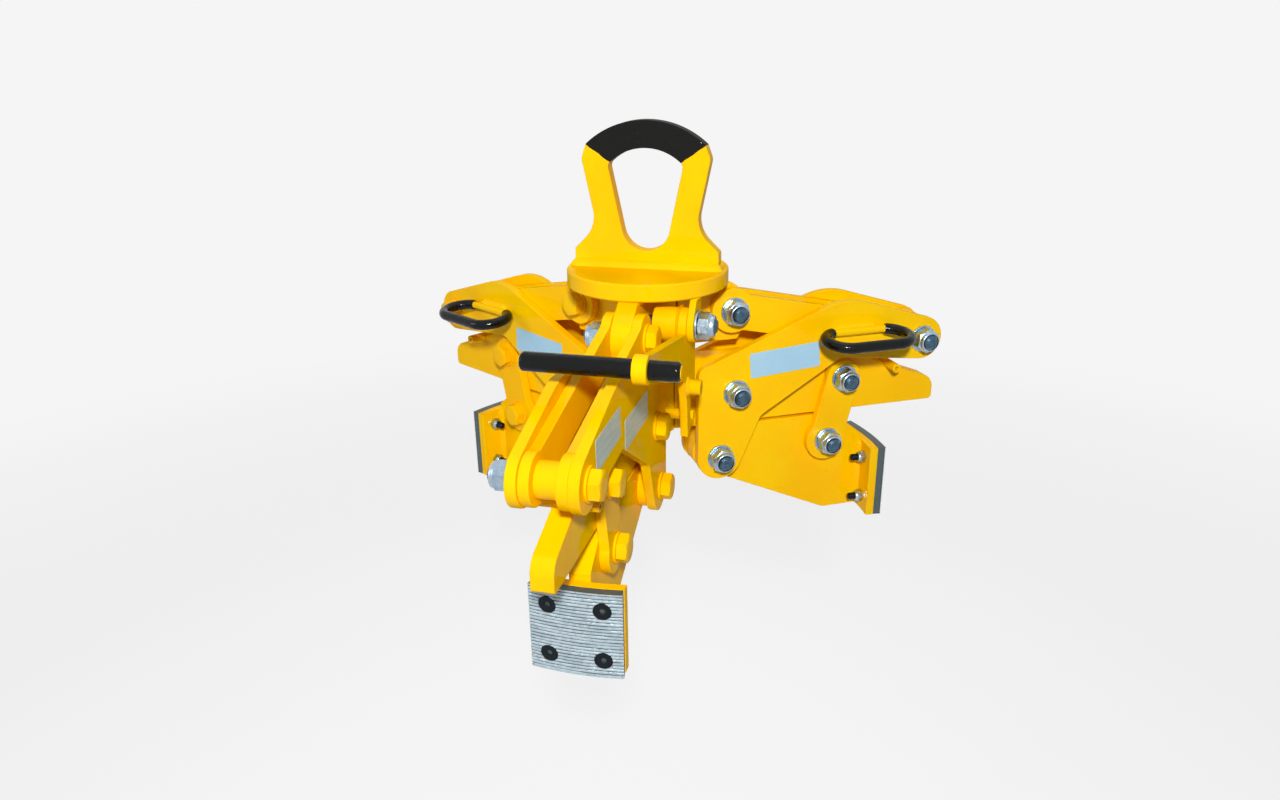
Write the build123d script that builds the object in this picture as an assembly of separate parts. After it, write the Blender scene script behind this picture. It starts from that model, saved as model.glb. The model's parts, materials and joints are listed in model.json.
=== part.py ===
from build123d import *
import math
import os

# Internal lifting gripper, in millimetres, +Z up.
# The origin is the point under the lifting eye's crown where the crane hook bears.
# Three like arms stand round the vertical axis. Each is drawn lying along +X, with heights along Z,
# and is then turned to its own place. Bolt heads are on an arm's +Y side, nuts on its -Y side.

ARM_ANGLES = {"front": -90.0, "right": 30.0, "left": 150.0}

# Lifting eye: heights in the crown are from the bearing point, heights in the foot from the disc
EYE_RISE = 146.5
EYE_THICKNESS = 20.0
CROWN_RISE = 33.0
CROWN_CORNER_HALF = 75.0
CROWN_CORNER_RISE = 4.5
SHOULDER_HALF = 81.5
SHOULDER_DROP = 12.5
SHOULDER_ROUNDING = 14.0
WAIST_HALF = 64.0
WAIST_HEIGHT = 50.0
WAIST_ROUNDING = 38.0
FOOT_HALF = 93.3
FOOT_HEIGHT = 21.0
FOOT_ROUNDING = 5.0
WINDOW_TOP_HALF = 47.5
WINDOW_TOP_DROP = 20.0
WINDOW_CORNER_ROUNDING = 8.0
WINDOW_FOOT_RADIUS = 31.0
WINDOW_FOOT_HEIGHT = 52.0

# Suspension disc and the lugs under it
DISC_RADIUS = 103.0
DISC_THICKNESS = 22.0
DISC_EDGE = 2.0
CENTRE_BOSS_RADIUS = 36.0
LUG_DEPTH = 83.5
LUG_OUTER_RADIUS = 98.0
LUG_FOOT_RADIUS = 120.0
LUG_EYE_RADIUS = 28.0

# Plates of an arm: a centre plate with a side plate in each of two layers beyond it
CENTRE_THICKNESS = 25.0
SIDE_THICKNESS = 12.0
LAYER_GAP = 0.3

# Pivots of an arm: the tip overhangs the pad's face, and the shoe's pivot is set back from the pad plate
LUG_PIVOT_RADIUS = 110.0
LUG_PIVOT_DROP = 41.0
HUB_PIVOT_RADIUS = 111.0
HUB_PIVOT_DROP = 110.0
SHORT_ARM_IN = 21.0
SHORT_ARM_DOWN = 91.0
TIP_OVERHANG = 47.0
TIP_UP = 51.0
SHOE_SETBACK = 60.5
CLOSING_ANGLE = 2.0

# Lever plates: corner places are measured from the hub pivot
LEVER_ELBOW_RADIUS = 32.0
LEVER_TIP_RADIUS = 30.0
LEVER_HEEL_UP = 36.0
LEVER_HEEL_ROUNDING = 14.0
LEVER_HUMP_OUT = 155.0
LEVER_HUMP_UP = 119.2
LEVER_HUMP_ROUNDING = 95.0
LEVER_ARMPIT_OUT = 152.0
LEVER_ARMPIT_UP = 34.6
LEVER_KNEE_OUT = 37.0
LEVER_KNEE_DOWN = 36.6
LEVER_INNER_ROUNDING = 18.0
BOSS_RADIUS = 28.0
TIP_SPACER_RADIUS = 19.0

# Top links and hanger links
TOP_LINK_LUG_RADIUS = 30.0
TOP_LINK_TIP_RADIUS = 28.0
TOP_LINK_HALF_WIDTH = 24.0
HANGER_TOP_RADIUS = 25.5
HANGER_FOOT_RADIUS = 30.0
HANGER_HALF_WIDTH = 25.0

# Hub core and tongues: heights are from the hub pivot
CORE_FLATS = 60.0
TONGUE_RISE = 47.5
TONGUE_DEPTH = 51.5
TONGUE_OVERHANG = 87.0
TONGUE_SHOULDER_OUT = -27.5
TONGUE_NOSE_DROP = 19.5
TONGUE_NOSE_ROUNDING = 22.0
TONGUE_CHAMFER = 3.5
TONGUE_ROUNDING = 10.0
STOP_PIN_RADIUS = 6.3
STOP_PIN_REACH = 31.5
STOP_GAP = 0.5

# Shoes: the pads' gripping face is at PAD_RADIUS
PAD_RADIUS = 338.0
LINING_THICKNESS = 11.0
PAD_PLATE_THICKNESS = 12.0
PAD_HALF_WIDTH = 53.0
PAD_PLATE_HALF_WIDTH = 52.3
PAD_HEIGHT = 105.0
PAD_DROP = 10.5
SHOE_TOP_GAP = 4.0
SHOE_EYE_RADIUS = 31.0
SHOE_SHOULDER_OUT = 10.0
SHOE_BOTTOM_RISE = 2.5
SHOE_CORNER_OUT = 6.0
SHOE_ROUNDING = 14.0
PAD_SCREW_SPACING = 62.0
PAD_SCREW_RADIUS = 5.0
PAD_SCREW_HEAD_RADIUS = 10.0
PAD_SCREW_SINK = 0.6
PAD_NUT_FLATS = 16.0
PAD_NUT_HEIGHT = 10.0
PAD_SCREW_STUB = 10.0

# Pivot bolts
BOLT_RADIUS = 10.0
HEAD_FLATS = 30.0
HEAD_HEIGHT = 12.5
WASHER_RADIUS = 18.5
WASHER_THICKNESS = 3.0
WASHER_FIT = 0.5
NUT_HEX_HEIGHT = 15.0
NUT_COLLAR_HEIGHT = 5.0
NUT_COLLAR_RADIUS = 13.6
BOLT_STUB = 3.0
RUNNING_FIT = 0.05
OPEN_FIT = 0.4

# Carrying handles on the lever plates of the right and left arms
HANDLE_OUT = 171.0
HANDLE_UP = 73.0
HANDLE_BAR_RADIUS = 5.0
HANDLE_STRAIGHT = 62.0
HANDLE_END_RADIUS = 27.5
HANDLE_DROOP = 5.2
HANDLE_STANDOFF = 2.0
HANDLE_WELD_WIDTH = 7.0
HOSE_RADIUS = 7.4
HOSE_FIT = 0.05
HOSE_CLEARANCE = 0.6

# Latch: heights and lengths are from its pivot, which stands in front of the axis
LATCH_PIVOT_OUT = 69.0
LATCH_PIVOT_DROP = 32.5
LATCH_STUD_RADIUS = 10.0
LATCH_SIDE_GAP = 6.4
LATCH_THICKNESS = 9.7
SLEEVE_RADIUS = 21.0
SLEEVE_END_GAP = 2.0
EAR_THICKNESS = 8.5
EAR_INNER = 34.0
EAR_OUTER = 66.0
GRIP_OUT = 240.0
GRIP_UP = 23.5
GRIP_ROD_RADIUS = 7.0
GRIP_RADIUS = 10.3
GRIP_LEFT = 115.0
GRIP_RIGHT = 52.0
RING_RADIUS = 15.2
RING_LENGTH = 15.0
RING_OFFSET = 4.0
LATCH_BACK = 39.0
LATCH_BACK_TOP = 15.5
LATCH_MOUTH_TOP = 88.5
LATCH_MOUTH_DEPTH = 12.0
LATCH_TOE_DOWN = 132.5
LATCH_TOE_BACK = 27.0
LATCH_TOE_THICKNESS = 14.0
LATCH_TIP_HALF = 4.0
LATCH_NECK_OUT = 11.0
LATCH_NECK_DOWN = 95.5
LATCH_CHIN_OUT = 24.0
LATCH_CHIN_DOWN = 65.5
LATCH_ARM_TOP = 5.5
CATCH_RADIUS = 6.5
CATCH_GAP = 0.5
CATCH_OVERRUN = 3.0
KNOB_RADIUS = 9.5
KNOB_LENGTH = 17.5
KNOB_OUT = 8.0
KNOB_DOWN = 77.0

# Heights and places that follow from the sizes above
LINING_INNER = PAD_RADIUS - LINING_THICKNESS
PAD_PLATE_INNER = LINING_INNER - PAD_PLATE_THICKNESS
DISC_TOP = -EYE_RISE
DISC_BOTTOM = DISC_TOP - DISC_THICKNESS
LUG_BOTTOM = DISC_BOTTOM - LUG_DEPTH
LUG_PIVOT = (LUG_PIVOT_RADIUS, DISC_BOTTOM - LUG_PIVOT_DROP)
HUB_PIVOT = (HUB_PIVOT_RADIUS, LUG_PIVOT[1] - HUB_PIVOT_DROP)


def from_hub(out, up):
    """A point of an arm, measured outwards and upwards from the hub pivot."""
    return (HUB_PIVOT[0] + out, HUB_PIVOT[1] + up)


ELBOW_PIVOT = from_hub(-SHORT_ARM_IN, -SHORT_ARM_DOWN)
TIP_PIVOT = (PAD_RADIUS + TIP_OVERHANG, HUB_PIVOT[1] + TIP_UP)
SHOE_PIVOT = (PAD_PLATE_INNER - SHOE_SETBACK, ELBOW_PIVOT[1])
HANGER_PIVOT = from_hub(SHOE_PIVOT[0] - ELBOW_PIVOT[0], 0.0)

CENTRE_FACE = CENTRE_THICKNESS / 2
MIDDLE_IN = CENTRE_FACE + LAYER_GAP
MIDDLE_OUT = MIDDLE_IN + SIDE_THICKNESS
OUTER_IN = MIDDLE_OUT + LAYER_GAP
OUTER_OUT = OUTER_IN + SIDE_THICKNESS
NUT_REACH = WASHER_THICKNESS + NUT_HEX_HEIGHT + NUT_COLLAR_HEIGHT + BOLT_STUB

TONGUE_TOP = HUB_PIVOT[1] + TONGUE_RISE
TONGUE_BOTTOM = HUB_PIVOT[1] - TONGUE_DEPTH
PAD_TOP = SHOE_PIVOT[1] - PAD_DROP
PAD_BOTTOM = PAD_TOP - PAD_HEIGHT
BOLT_HOLE = BOLT_RADIUS + RUNNING_FIT

LATCH_INNER_X = OUTER_OUT + WASHER_THICKNESS + HEAD_HEIGHT + LATCH_SIDE_GAP
LATCH_OUTER_X = LATCH_INNER_X + LATCH_THICKNESS
EAR_INNER_X = LATCH_OUTER_X + LAYER_GAP
EAR_OUTER_X = EAR_INNER_X + EAR_THICKNESS
LATCH_PIVOT = (-LATCH_PIVOT_OUT, DISC_BOTTOM - LATCH_PIVOT_DROP)

NODES = {}


def add(name, *solids):
    """Put the solids into the named node, beside any that it already holds."""
    NODES.setdefault(name, []).extend(solids)


def slab(sketch, low, high):
    """Give an outline drawn as (outwards, upwards) its thickness, from low to high along Y."""
    return Rot(90, 0, 0) * Pos(0, 0, -high) * extrude(sketch, high - low)


def slab_pair(sketch, inner, outer):
    """Two like plates, one on each side of an arm's middle plane."""
    return [slab(sketch, inner, outer), slab(sketch, -outer, -inner)]


def cross_slab(sketch, low, high):
    """Give an outline drawn as (along Y, upwards) its thickness, from low to high along X."""
    return Pos(low, 0, 0) * extrude(Plane.YZ * sketch, high - low)


def disc_at(point, radius):
    return Pos(*point) * Circle(radius)


def ring_at(point, outer, inner):
    return disc_at(point, outer) - disc_at(point, inner)


def hexagon_at(point, flats):
    return Pos(*point) * RegularPolygon(flats / 2, 6, major_radius=False)


def rounded(points, *roundings):
    """A polygon with some of its corners rounded: each rounding is a (corner, radius) pair."""
    shape = make_face(Polyline(*points, close=True))
    for corner, radius in roundings:
        vertex = shape.vertices().sort_by_distance((corner[0], corner[1], 0))[0]
        shape = fillet(vertex, radius)
    return shape


def touch(point, centre, radius, side):
    """Where a line from the point touches the circle, on its left (+1) or right (-1) as seen from there."""
    out = centre[0] - point[0]
    up = centre[1] - point[1]
    distance = math.hypot(out, up)
    angle = math.atan2(up, out) + side * math.asin(radius / distance)
    length = math.sqrt(distance**2 - radius**2)
    return (point[0] + length * math.cos(angle), point[1] + length * math.sin(angle))


def turn(point, centre, degrees):
    """The point turned about the centre, anticlockwise."""
    angle = math.radians(degrees)
    out = point[0] - centre[0]
    up = point[1] - centre[1]
    turned_out = out * math.cos(angle) - up * math.sin(angle)
    turned_up = out * math.sin(angle) + up * math.cos(angle)
    return (centre[0] + turned_out, centre[1] + turned_up)


def link(first, second, first_radius, second_radius, half_width):
    """A flat link: an eye at each pivot and a straight body between them."""
    angle = math.atan2(second[1] - first[1], second[0] - first[0])
    across = (-half_width * math.sin(angle), half_width * math.cos(angle))
    body = Polyline(
        (first[0] + across[0], first[1] + across[1]),
        (second[0] + across[0], second[1] + across[1]),
        (second[0] - across[0], second[1] - across[1]),
        (first[0] - across[0], first[1] - across[1]),
        close=True,
    )
    return make_face(body) + disc_at(first, first_radius) + disc_at(second, second_radius)


def pivot_bolt(point, face):
    """A hexagon bolt across an arm whose outermost plates end at face on both sides."""
    head_seat = face + WASHER_THICKNESS
    shank = slab(disc_at(point, BOLT_RADIUS), -face - NUT_REACH, head_seat)
    return shank + slab(hexagon_at(point, HEAD_FLATS), head_seat, head_seat + HEAD_HEIGHT)


def pivot_nut_set(point, face):
    """Two washers and the lock nut of a pivot bolt."""
    washer = ring_at(point, WASHER_RADIUS, BOLT_RADIUS + WASHER_FIT)
    seat = -face - WASHER_THICKNESS
    nut = slab(hexagon_at(point, HEAD_FLATS), seat - NUT_HEX_HEIGHT, seat)
    collar_end = seat - NUT_HEX_HEIGHT - NUT_COLLAR_HEIGHT
    nut += slab(disc_at(point, NUT_COLLAR_RADIUS), collar_end, seat - NUT_HEX_HEIGHT)
    nut -= slab(disc_at(point, BOLT_HOLE), collar_end, seat)
    return [*slab_pair(washer, face, face + WASHER_THICKNESS), nut]


def lifting_eye():
    """The eye plate: a flared foot, a waist, round shoulders and a crown over a V-shaped window."""
    crown = (CROWN_CORNER_HALF, CROWN_CORNER_RISE)
    shoulder = (SHOULDER_HALF, -SHOULDER_DROP)
    waist = (WAIST_HALF, DISC_TOP + WAIST_HEIGHT)
    foot = (FOOT_HALF, DISC_TOP + FOOT_HEIGHT)
    base = (FOOT_HALF, DISC_TOP)
    right = [crown, shoulder, waist, foot, base]
    left = [(-out, up) for out, up in reversed(right)]
    sides = Polyline(*right, *left)
    top = ThreePointArc(left[-1], (0, CROWN_RISE), crown)
    plate = make_face([*sides.edges(), top])
    for side in (1, -1):
        for corner, radius in (
            (shoulder, SHOULDER_ROUNDING),
            (waist, WAIST_ROUNDING),
            (foot, FOOT_ROUNDING),
        ):
            vertex = plate.vertices().sort_by_distance((side * corner[0], corner[1], 0))[0]
            plate = fillet(vertex, radius)
    return slab(plate - eye_window(), -EYE_THICKNESS / 2, EYE_THICKNESS / 2)


def eye_window():
    """The window: a round foot, sides that lean outwards and a shallow arch that the hook bears on."""
    foot = (0.0, DISC_TOP + WINDOW_FOOT_HEIGHT)
    corner = (WINDOW_TOP_HALF, -WINDOW_TOP_DROP)
    low = touch(corner, foot, WINDOW_FOOT_RADIUS, 1)
    arch = ThreePointArc((-corner[0], corner[1]), (0, 0), corner)
    sides = [Line(corner, low), Line((-low[0], low[1]), (-corner[0], corner[1]))]
    bottom = ThreePointArc(low, (0, foot[1] - WINDOW_FOOT_RADIUS), (-low[0], low[1]))
    window = make_face([arch, *sides, bottom])
    for side in (1, -1):
        vertex = window.vertices().sort_by_distance((side * corner[0], corner[1], 0))[0]
        window = fillet(vertex, WINDOW_CORNER_ROUNDING)
    return window


def suspension_disc():
    disc = extrude(Circle(DISC_RADIUS), DISC_THICKNESS)
    disc = chamfer(disc.edges(), DISC_EDGE)
    return Pos(0, 0, DISC_BOTTOM) * disc


def suspension_lug(carries_latch):
    """A radial lug from the centre boss out to its pivot; the front one holds the latch's stud as well."""
    inner = CENTRE_BOSS_RADIUS + LAYER_GAP
    root = Line((inner, DISC_BOTTOM), (LUG_OUTER_RADIUS, DISC_BOTTOM))
    foot = Line((inner, LUG_BOTTOM), (LUG_FOOT_RADIUS, LUG_BOTTOM))
    outline = [root, foot, *disc_at(LUG_PIVOT, LUG_EYE_RADIUS).edges()]
    lug = make_hull(ShapeList(outline)) - disc_at(LUG_PIVOT, BOLT_HOLE)
    if carries_latch:
        lug -= disc_at((LATCH_PIVOT_OUT, LATCH_PIVOT[1]), LATCH_STUD_RADIUS + RUNNING_FIT)
    return slab(lug, -CENTRE_FACE, CENTRE_FACE)


def lever_corners():
    """The places of a lever plate's corners, in order round its outline."""
    elbow_side = (ELBOW_PIVOT[0] - LEVER_ELBOW_RADIUS, ELBOW_PIVOT[1])
    heel = (elbow_side[0], HUB_PIVOT[1] + LEVER_HEEL_UP)
    hump = from_hub(LEVER_HUMP_OUT, LEVER_HUMP_UP)
    armpit = from_hub(LEVER_ARMPIT_OUT, LEVER_ARMPIT_UP)
    knee = from_hub(LEVER_KNEE_OUT, -LEVER_KNEE_DOWN)
    return elbow_side, heel, hump, armpit, knee


def lever_outline():
    """A bell crank: a short arm down to the elbow and a long humped arm out to the tip."""
    elbow_side, heel, hump, armpit, knee = lever_corners()
    points = [
        elbow_side,
        heel,
        hump,
        touch(hump, TIP_PIVOT, LEVER_TIP_RADIUS, 1),
        touch(armpit, TIP_PIVOT, LEVER_TIP_RADIUS, -1),
        armpit,
        knee,
        touch(knee, ELBOW_PIVOT, LEVER_ELBOW_RADIUS, 1),
    ]
    plate = rounded(
        points,
        (heel, LEVER_HEEL_ROUNDING),
        (hump, LEVER_HUMP_ROUNDING),
        (armpit, LEVER_INNER_ROUNDING),
        (knee, LEVER_INNER_ROUNDING),
    )
    plate += disc_at(ELBOW_PIVOT, LEVER_ELBOW_RADIUS) + disc_at(TIP_PIVOT, LEVER_TIP_RADIUS)
    for pivot in (HUB_PIVOT, ELBOW_PIVOT, TIP_PIVOT):
        plate -= disc_at(pivot, BOLT_HOLE)
    return plate


def stop_pin_place():
    """The stop pin stands where the lever's underside lands when the lever has closed."""
    armpit = lever_corners()[3]
    tip_side = touch(armpit, TIP_PIVOT, LEVER_TIP_RADIUS, -1)
    start = turn(armpit, HUB_PIVOT, -CLOSING_ANGLE)
    end = turn(tip_side, HUB_PIVOT, -CLOSING_ANGLE)
    length = math.dist(start, end)
    along = ((end[0] - start[0]) / length, (end[1] - start[1]) / length)
    clearance = STOP_PIN_RADIUS + STOP_GAP
    seat = (end[0] - STOP_PIN_REACH * along[0], end[1] - STOP_PIN_REACH * along[1])
    return (seat[0] + clearance * along[1], seat[1] - clearance * along[0])


def tongue():
    """One of the hub's three tongues, which reaches past the pad to rest on the load's rim."""
    tip = PAD_RADIUS + TONGUE_OVERHANG
    root = CORE_FLATS / 2
    shoulder = (HANGER_PIVOT[0] + TONGUE_SHOULDER_OUT, TONGUE_TOP)
    nose = (tip, HUB_PIVOT[1] - TONGUE_NOSE_DROP)
    points = [
        (root, TONGUE_TOP),
        shoulder,
        nose,
        (tip, TONGUE_BOTTOM + TONGUE_CHAMFER),
        (tip - TONGUE_CHAMFER, TONGUE_BOTTOM),
        (root, TONGUE_BOTTOM),
    ]
    plate = rounded(points, (shoulder, TONGUE_ROUNDING), (nose, TONGUE_NOSE_ROUNDING))
    for pivot in (HUB_PIVOT, HANGER_PIVOT):
        plate -= disc_at(pivot, BOLT_HOLE)
    plate -= disc_at(stop_pin_place(), STOP_PIN_RADIUS + RUNNING_FIT)
    return slab(plate, -CENTRE_FACE, CENTRE_FACE)


def shoe_arm():
    """The plate that carries a pad: it hangs from the elbow and stays level on its hanger link."""
    top = TONGUE_BOTTOM - SHOE_TOP_GAP
    bottom = PAD_BOTTOM + SHOE_BOTTOM_RISE
    heel = (ELBOW_PIVOT[0] + SHOE_EYE_RADIUS, top)
    shoulder = (SHOE_PIVOT[0] + SHOE_SHOULDER_OUT, top)
    corner = (SHOE_PIVOT[0] + SHOE_CORNER_OUT, bottom)
    points = [
        touch(heel, ELBOW_PIVOT, SHOE_EYE_RADIUS, -1),
        heel,
        shoulder,
        (LINING_INNER, PAD_TOP),
        (LINING_INNER, bottom),
        corner,
        touch(corner, ELBOW_PIVOT, SHOE_EYE_RADIUS, 1),
    ]
    plate = rounded(points, (shoulder, SHOE_ROUNDING), (corner, SHOE_ROUNDING))
    plate += disc_at(ELBOW_PIVOT, SHOE_EYE_RADIUS)
    for pivot in (ELBOW_PIVOT, SHOE_PIVOT):
        plate -= disc_at(pivot, BOLT_HOLE)
    inside = Pos(0, 0, PAD_BOTTOM) * extrude(Circle(PAD_PLATE_INNER), TONGUE_TOP - PAD_BOTTOM)
    return slab(plate, -CENTRE_FACE, CENTRE_FACE) & inside


def pad_layer(inner, outer, outline):
    """A curved slab of the pad between two radii, cut to an outline seen from above."""
    layer = (Circle(outer) - Circle(inner)) & outline
    return Pos(0, 0, PAD_BOTTOM) * extrude(layer, PAD_HEIGHT)


def pad_screw_places():
    """Turns that carry a piece drawn along +X to each of the pad's four screws."""
    middle = (PAD_TOP + PAD_BOTTOM) / 2
    swing = math.degrees(math.asin(PAD_SCREW_SPACING / 2 / PAD_RADIUS))
    for angle in (swing, -swing):
        for height in (middle + PAD_SCREW_SPACING / 2, middle - PAD_SCREW_SPACING / 2):
            yield Pos(0, 0, height) * Rot(0, 0, angle)


def round_bar(radius, low, high):
    """A round bar along X."""
    return cross_slab(Circle(radius), low, high)


def screw_shape(shank_radius, head_radius, inner, outer):
    """A countersunk screw along X, or the hole for one: a shank with a cone under its head."""
    cone_height = PAD_SCREW_HEAD_RADIUS - PAD_SCREW_RADIUS
    cone = Rot(0, 90, 0) * Cone(shank_radius, head_radius, cone_height)
    return round_bar(shank_radius, inner, outer) + Pos(outer - cone_height / 2, 0, 0) * cone


def pad_pieces():
    """The pad plate, its lining, and the screws and nuts that hold them together."""
    reach = 2 * PAD_RADIUS
    spread = reach * math.tan(math.asin(PAD_HALF_WIDTH / PAD_RADIUS))
    sector = make_face(Polyline((0, 0), (reach, -spread), (reach, spread), close=True))
    strip = Pos(reach / 2, 0) * Rectangle(reach, 2 * PAD_PLATE_HALF_WIDTH)
    plate = pad_layer(PAD_PLATE_INNER, LINING_INNER, strip)
    lining = pad_layer(LINING_INNER, PAD_RADIUS, sector)
    seat = PAD_PLATE_INNER - LAYER_GAP
    head = PAD_RADIUS - PAD_SCREW_SINK
    end = seat - PAD_NUT_HEIGHT - PAD_SCREW_STUB
    screw = screw_shape(PAD_SCREW_RADIUS, PAD_SCREW_HEAD_RADIUS, end, head)
    hole_radius = PAD_SCREW_RADIUS + RUNNING_FIT
    sink_radius = PAD_SCREW_HEAD_RADIUS + RUNNING_FIT
    hole = screw_shape(hole_radius, sink_radius, end, head)
    hole += round_bar(sink_radius, head, PAD_RADIUS + LINING_THICKNESS)
    nut = cross_slab(RegularPolygon(PAD_NUT_FLATS / 2, 6, major_radius=False), seat - PAD_NUT_HEIGHT, seat)
    nut -= round_bar(hole_radius, end, head)
    fasteners = []
    for place in pad_screw_places():
        plate -= place * hole
        lining -= place * hole
        fasteners += [place * screw, place * nut]
    return plate, lining, fasteners


def handle_path(bare_angle):
    """The handle's two round ends and outer run, less a bare angle where each end leaves the lever."""
    half = HANDLE_STRAIGHT / 2
    depth = 2 * HANDLE_END_RADIUS
    near = CenterArc((half, HANDLE_END_RADIUS), HANDLE_END_RADIUS, bare_angle - 90, 180 - bare_angle)
    outer = Line((half, depth), (-half, depth))
    far = CenterArc((-half, HANDLE_END_RADIUS), HANDLE_END_RADIUS, 90, 180 - bare_angle)
    return Wire([*near.edges(), *outer.edges(), *far.edges()])


def swept(path, radius):
    """A round bar along a path of the handle."""
    start = Plane(path @ 0, z_dir=path % 0)
    return sweep(start * Circle(radius), path=path)


def carrying_handle(side):
    """The loop and its hose on the lever's outer face, drooping away from it, on one side of the arm."""
    lift = HANDLE_STANDOFF + HANDLE_BAR_RADIUS
    inner_run = round_bar(HANDLE_BAR_RADIUS, -HANDLE_STRAIGHT / 2, HANDLE_STRAIGHT / 2)
    weld = Pos(0, -lift / 2, 0) * Box(HANDLE_STRAIGHT, lift, HANDLE_WELD_WIDTH)
    droop = Rot(-side * HANDLE_DROOP, 0, 0)
    loop = droop * swept(handle_path(0), HANDLE_BAR_RADIUS) + inner_run + weld
    hose_lift = max(0.0, HOSE_RADIUS + HOSE_CLEARANCE - lift)
    bare_angle = math.degrees(math.acos(1 - hose_lift / HANDLE_END_RADIUS))
    hose_path = handle_path(bare_angle)
    hose = swept(hose_path, HOSE_RADIUS) - swept(hose_path, HANDLE_BAR_RADIUS + HOSE_FIT)
    out, up = from_hub(HANDLE_OUT, HANDLE_UP)
    lie = Rot(0, 0, 0) if side > 0 else Rot(180, 0, 0)
    place = Pos(out, side * (OUTER_OUT + lift), up) * lie
    return place * loop, place * droop * hose


def build_arm(name, angle):
    """All pieces of one arm, turned to its place."""
    place = Rot(0, 0, angle)

    def add_turned(node, *solids):
        add(node, *[place * solid for solid in solids])

    add_turned("top_lugs", suspension_lug(name == "front"))
    add_turned("top_pivot_bolts", pivot_bolt(LUG_PIVOT, MIDDLE_OUT))
    add_turned("top_pivot_nuts", *pivot_nut_set(LUG_PIVOT, MIDDLE_OUT))

    add_turned(name + "_tongue", tongue())
    pin = disc_at(stop_pin_place(), STOP_PIN_RADIUS)
    add_turned("stop_pins", slab(pin, -OUTER_OUT, OUTER_OUT))
    add_turned("hub_bolts", pivot_bolt(HUB_PIVOT, OUTER_OUT), pivot_bolt(HANGER_PIVOT, MIDDLE_OUT))
    add_turned("hub_nuts", *pivot_nut_set(HUB_PIVOT, OUTER_OUT), *pivot_nut_set(HANGER_PIVOT, MIDDLE_OUT))

    add_turned(name + "_lever_plates", *slab_pair(lever_outline(), OUTER_IN, OUTER_OUT))
    for pivot in (HUB_PIVOT, ELBOW_PIVOT):
        boss = ring_at(pivot, BOSS_RADIUS, BOLT_HOLE)
        add_turned(name + "_lever_bosses", *slab_pair(boss, MIDDLE_IN, OUTER_IN))
    spacer = ring_at(TIP_PIVOT, TIP_SPACER_RADIUS, BOLT_HOLE)
    add_turned(name + "_tip_spacer", slab(spacer, -CENTRE_FACE, CENTRE_FACE))
    for pivot in (ELBOW_PIVOT, TIP_PIVOT):
        add_turned(name + "_lever_bolts", pivot_bolt(pivot, OUTER_OUT), *pivot_nut_set(pivot, OUTER_OUT))

    top_link = link(LUG_PIVOT, TIP_PIVOT, TOP_LINK_LUG_RADIUS, TOP_LINK_TIP_RADIUS, TOP_LINK_HALF_WIDTH)
    top_link -= disc_at(LUG_PIVOT, BOLT_HOLE) + disc_at(TIP_PIVOT, BOLT_RADIUS + OPEN_FIT)
    add_turned(name + "_top_links", *slab_pair(top_link, MIDDLE_IN, MIDDLE_OUT))

    hanger = link(HANGER_PIVOT, SHOE_PIVOT, HANGER_TOP_RADIUS, HANGER_FOOT_RADIUS, HANGER_HALF_WIDTH)
    hanger -= disc_at(HANGER_PIVOT, BOLT_HOLE) + disc_at(SHOE_PIVOT, BOLT_RADIUS + OPEN_FIT)
    add_turned(name + "_hanger_links", *slab_pair(hanger, MIDDLE_IN, MIDDLE_OUT))

    plate, lining, fasteners = pad_pieces()
    add_turned(name + "_shoe_arm", shoe_arm())
    add_turned(name + "_pad_plate", plate)
    add_turned(name + "_pad_lining", lining)
    add_turned(name + "_pad_screws", *fasteners)
    shoe_bolt = pivot_bolt(SHOE_PIVOT, MIDDLE_OUT)
    add_turned(name + "_shoe_bolt", shoe_bolt, *pivot_nut_set(SHOE_PIVOT, MIDDLE_OUT))

    if name != "front":
        loop, hose = carrying_handle(-1 if name == "right" else 1)
        add_turned(name + "_handle_loop", loop)
        add_turned(name + "_handle_hose", hose)


def from_latch(out, up):
    """A point of the latch, measured forwards and upwards from its pivot."""
    return (LATCH_PIVOT[0] - out, LATCH_PIVOT[1] + up)


def latch_plate():
    """A bell crank: an arm forward to the grip and a hooked finger down to the catch bar."""
    grip = from_latch(GRIP_OUT, GRIP_UP)
    toe_top = -LATCH_TOE_DOWN
    tip = toe_top - LATCH_TOE_THICKNESS
    points = [
        (grip[0], grip[1] + RING_RADIUS / 2),
        from_latch(LATCH_CHIN_OUT, -LATCH_ARM_TOP),
        from_latch(-LATCH_BACK, -LATCH_BACK_TOP),
        from_latch(-LATCH_BACK, -LATCH_MOUTH_TOP),
        from_latch(-LATCH_MOUTH_DEPTH, -LATCH_MOUTH_TOP),
        from_latch(-LATCH_MOUTH_DEPTH, toe_top),
        from_latch(-LATCH_TOE_BACK, toe_top),
        from_latch(-LATCH_TIP_HALF, tip),
        from_latch(LATCH_TIP_HALF, tip),
        from_latch(LATCH_NECK_OUT, -LATCH_NECK_DOWN),
        from_latch(LATCH_CHIN_OUT, -LATCH_CHIN_DOWN),
        (grip[0], grip[1] - RING_RADIUS),
    ]
    plate = make_face(Polyline(*points, close=True))
    plate -= disc_at(LATCH_PIVOT, SLEEVE_RADIUS) + disc_at(grip, RING_RADIUS)
    return cross_slab(plate, LATCH_INNER_X, LATCH_OUTER_X)


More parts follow.
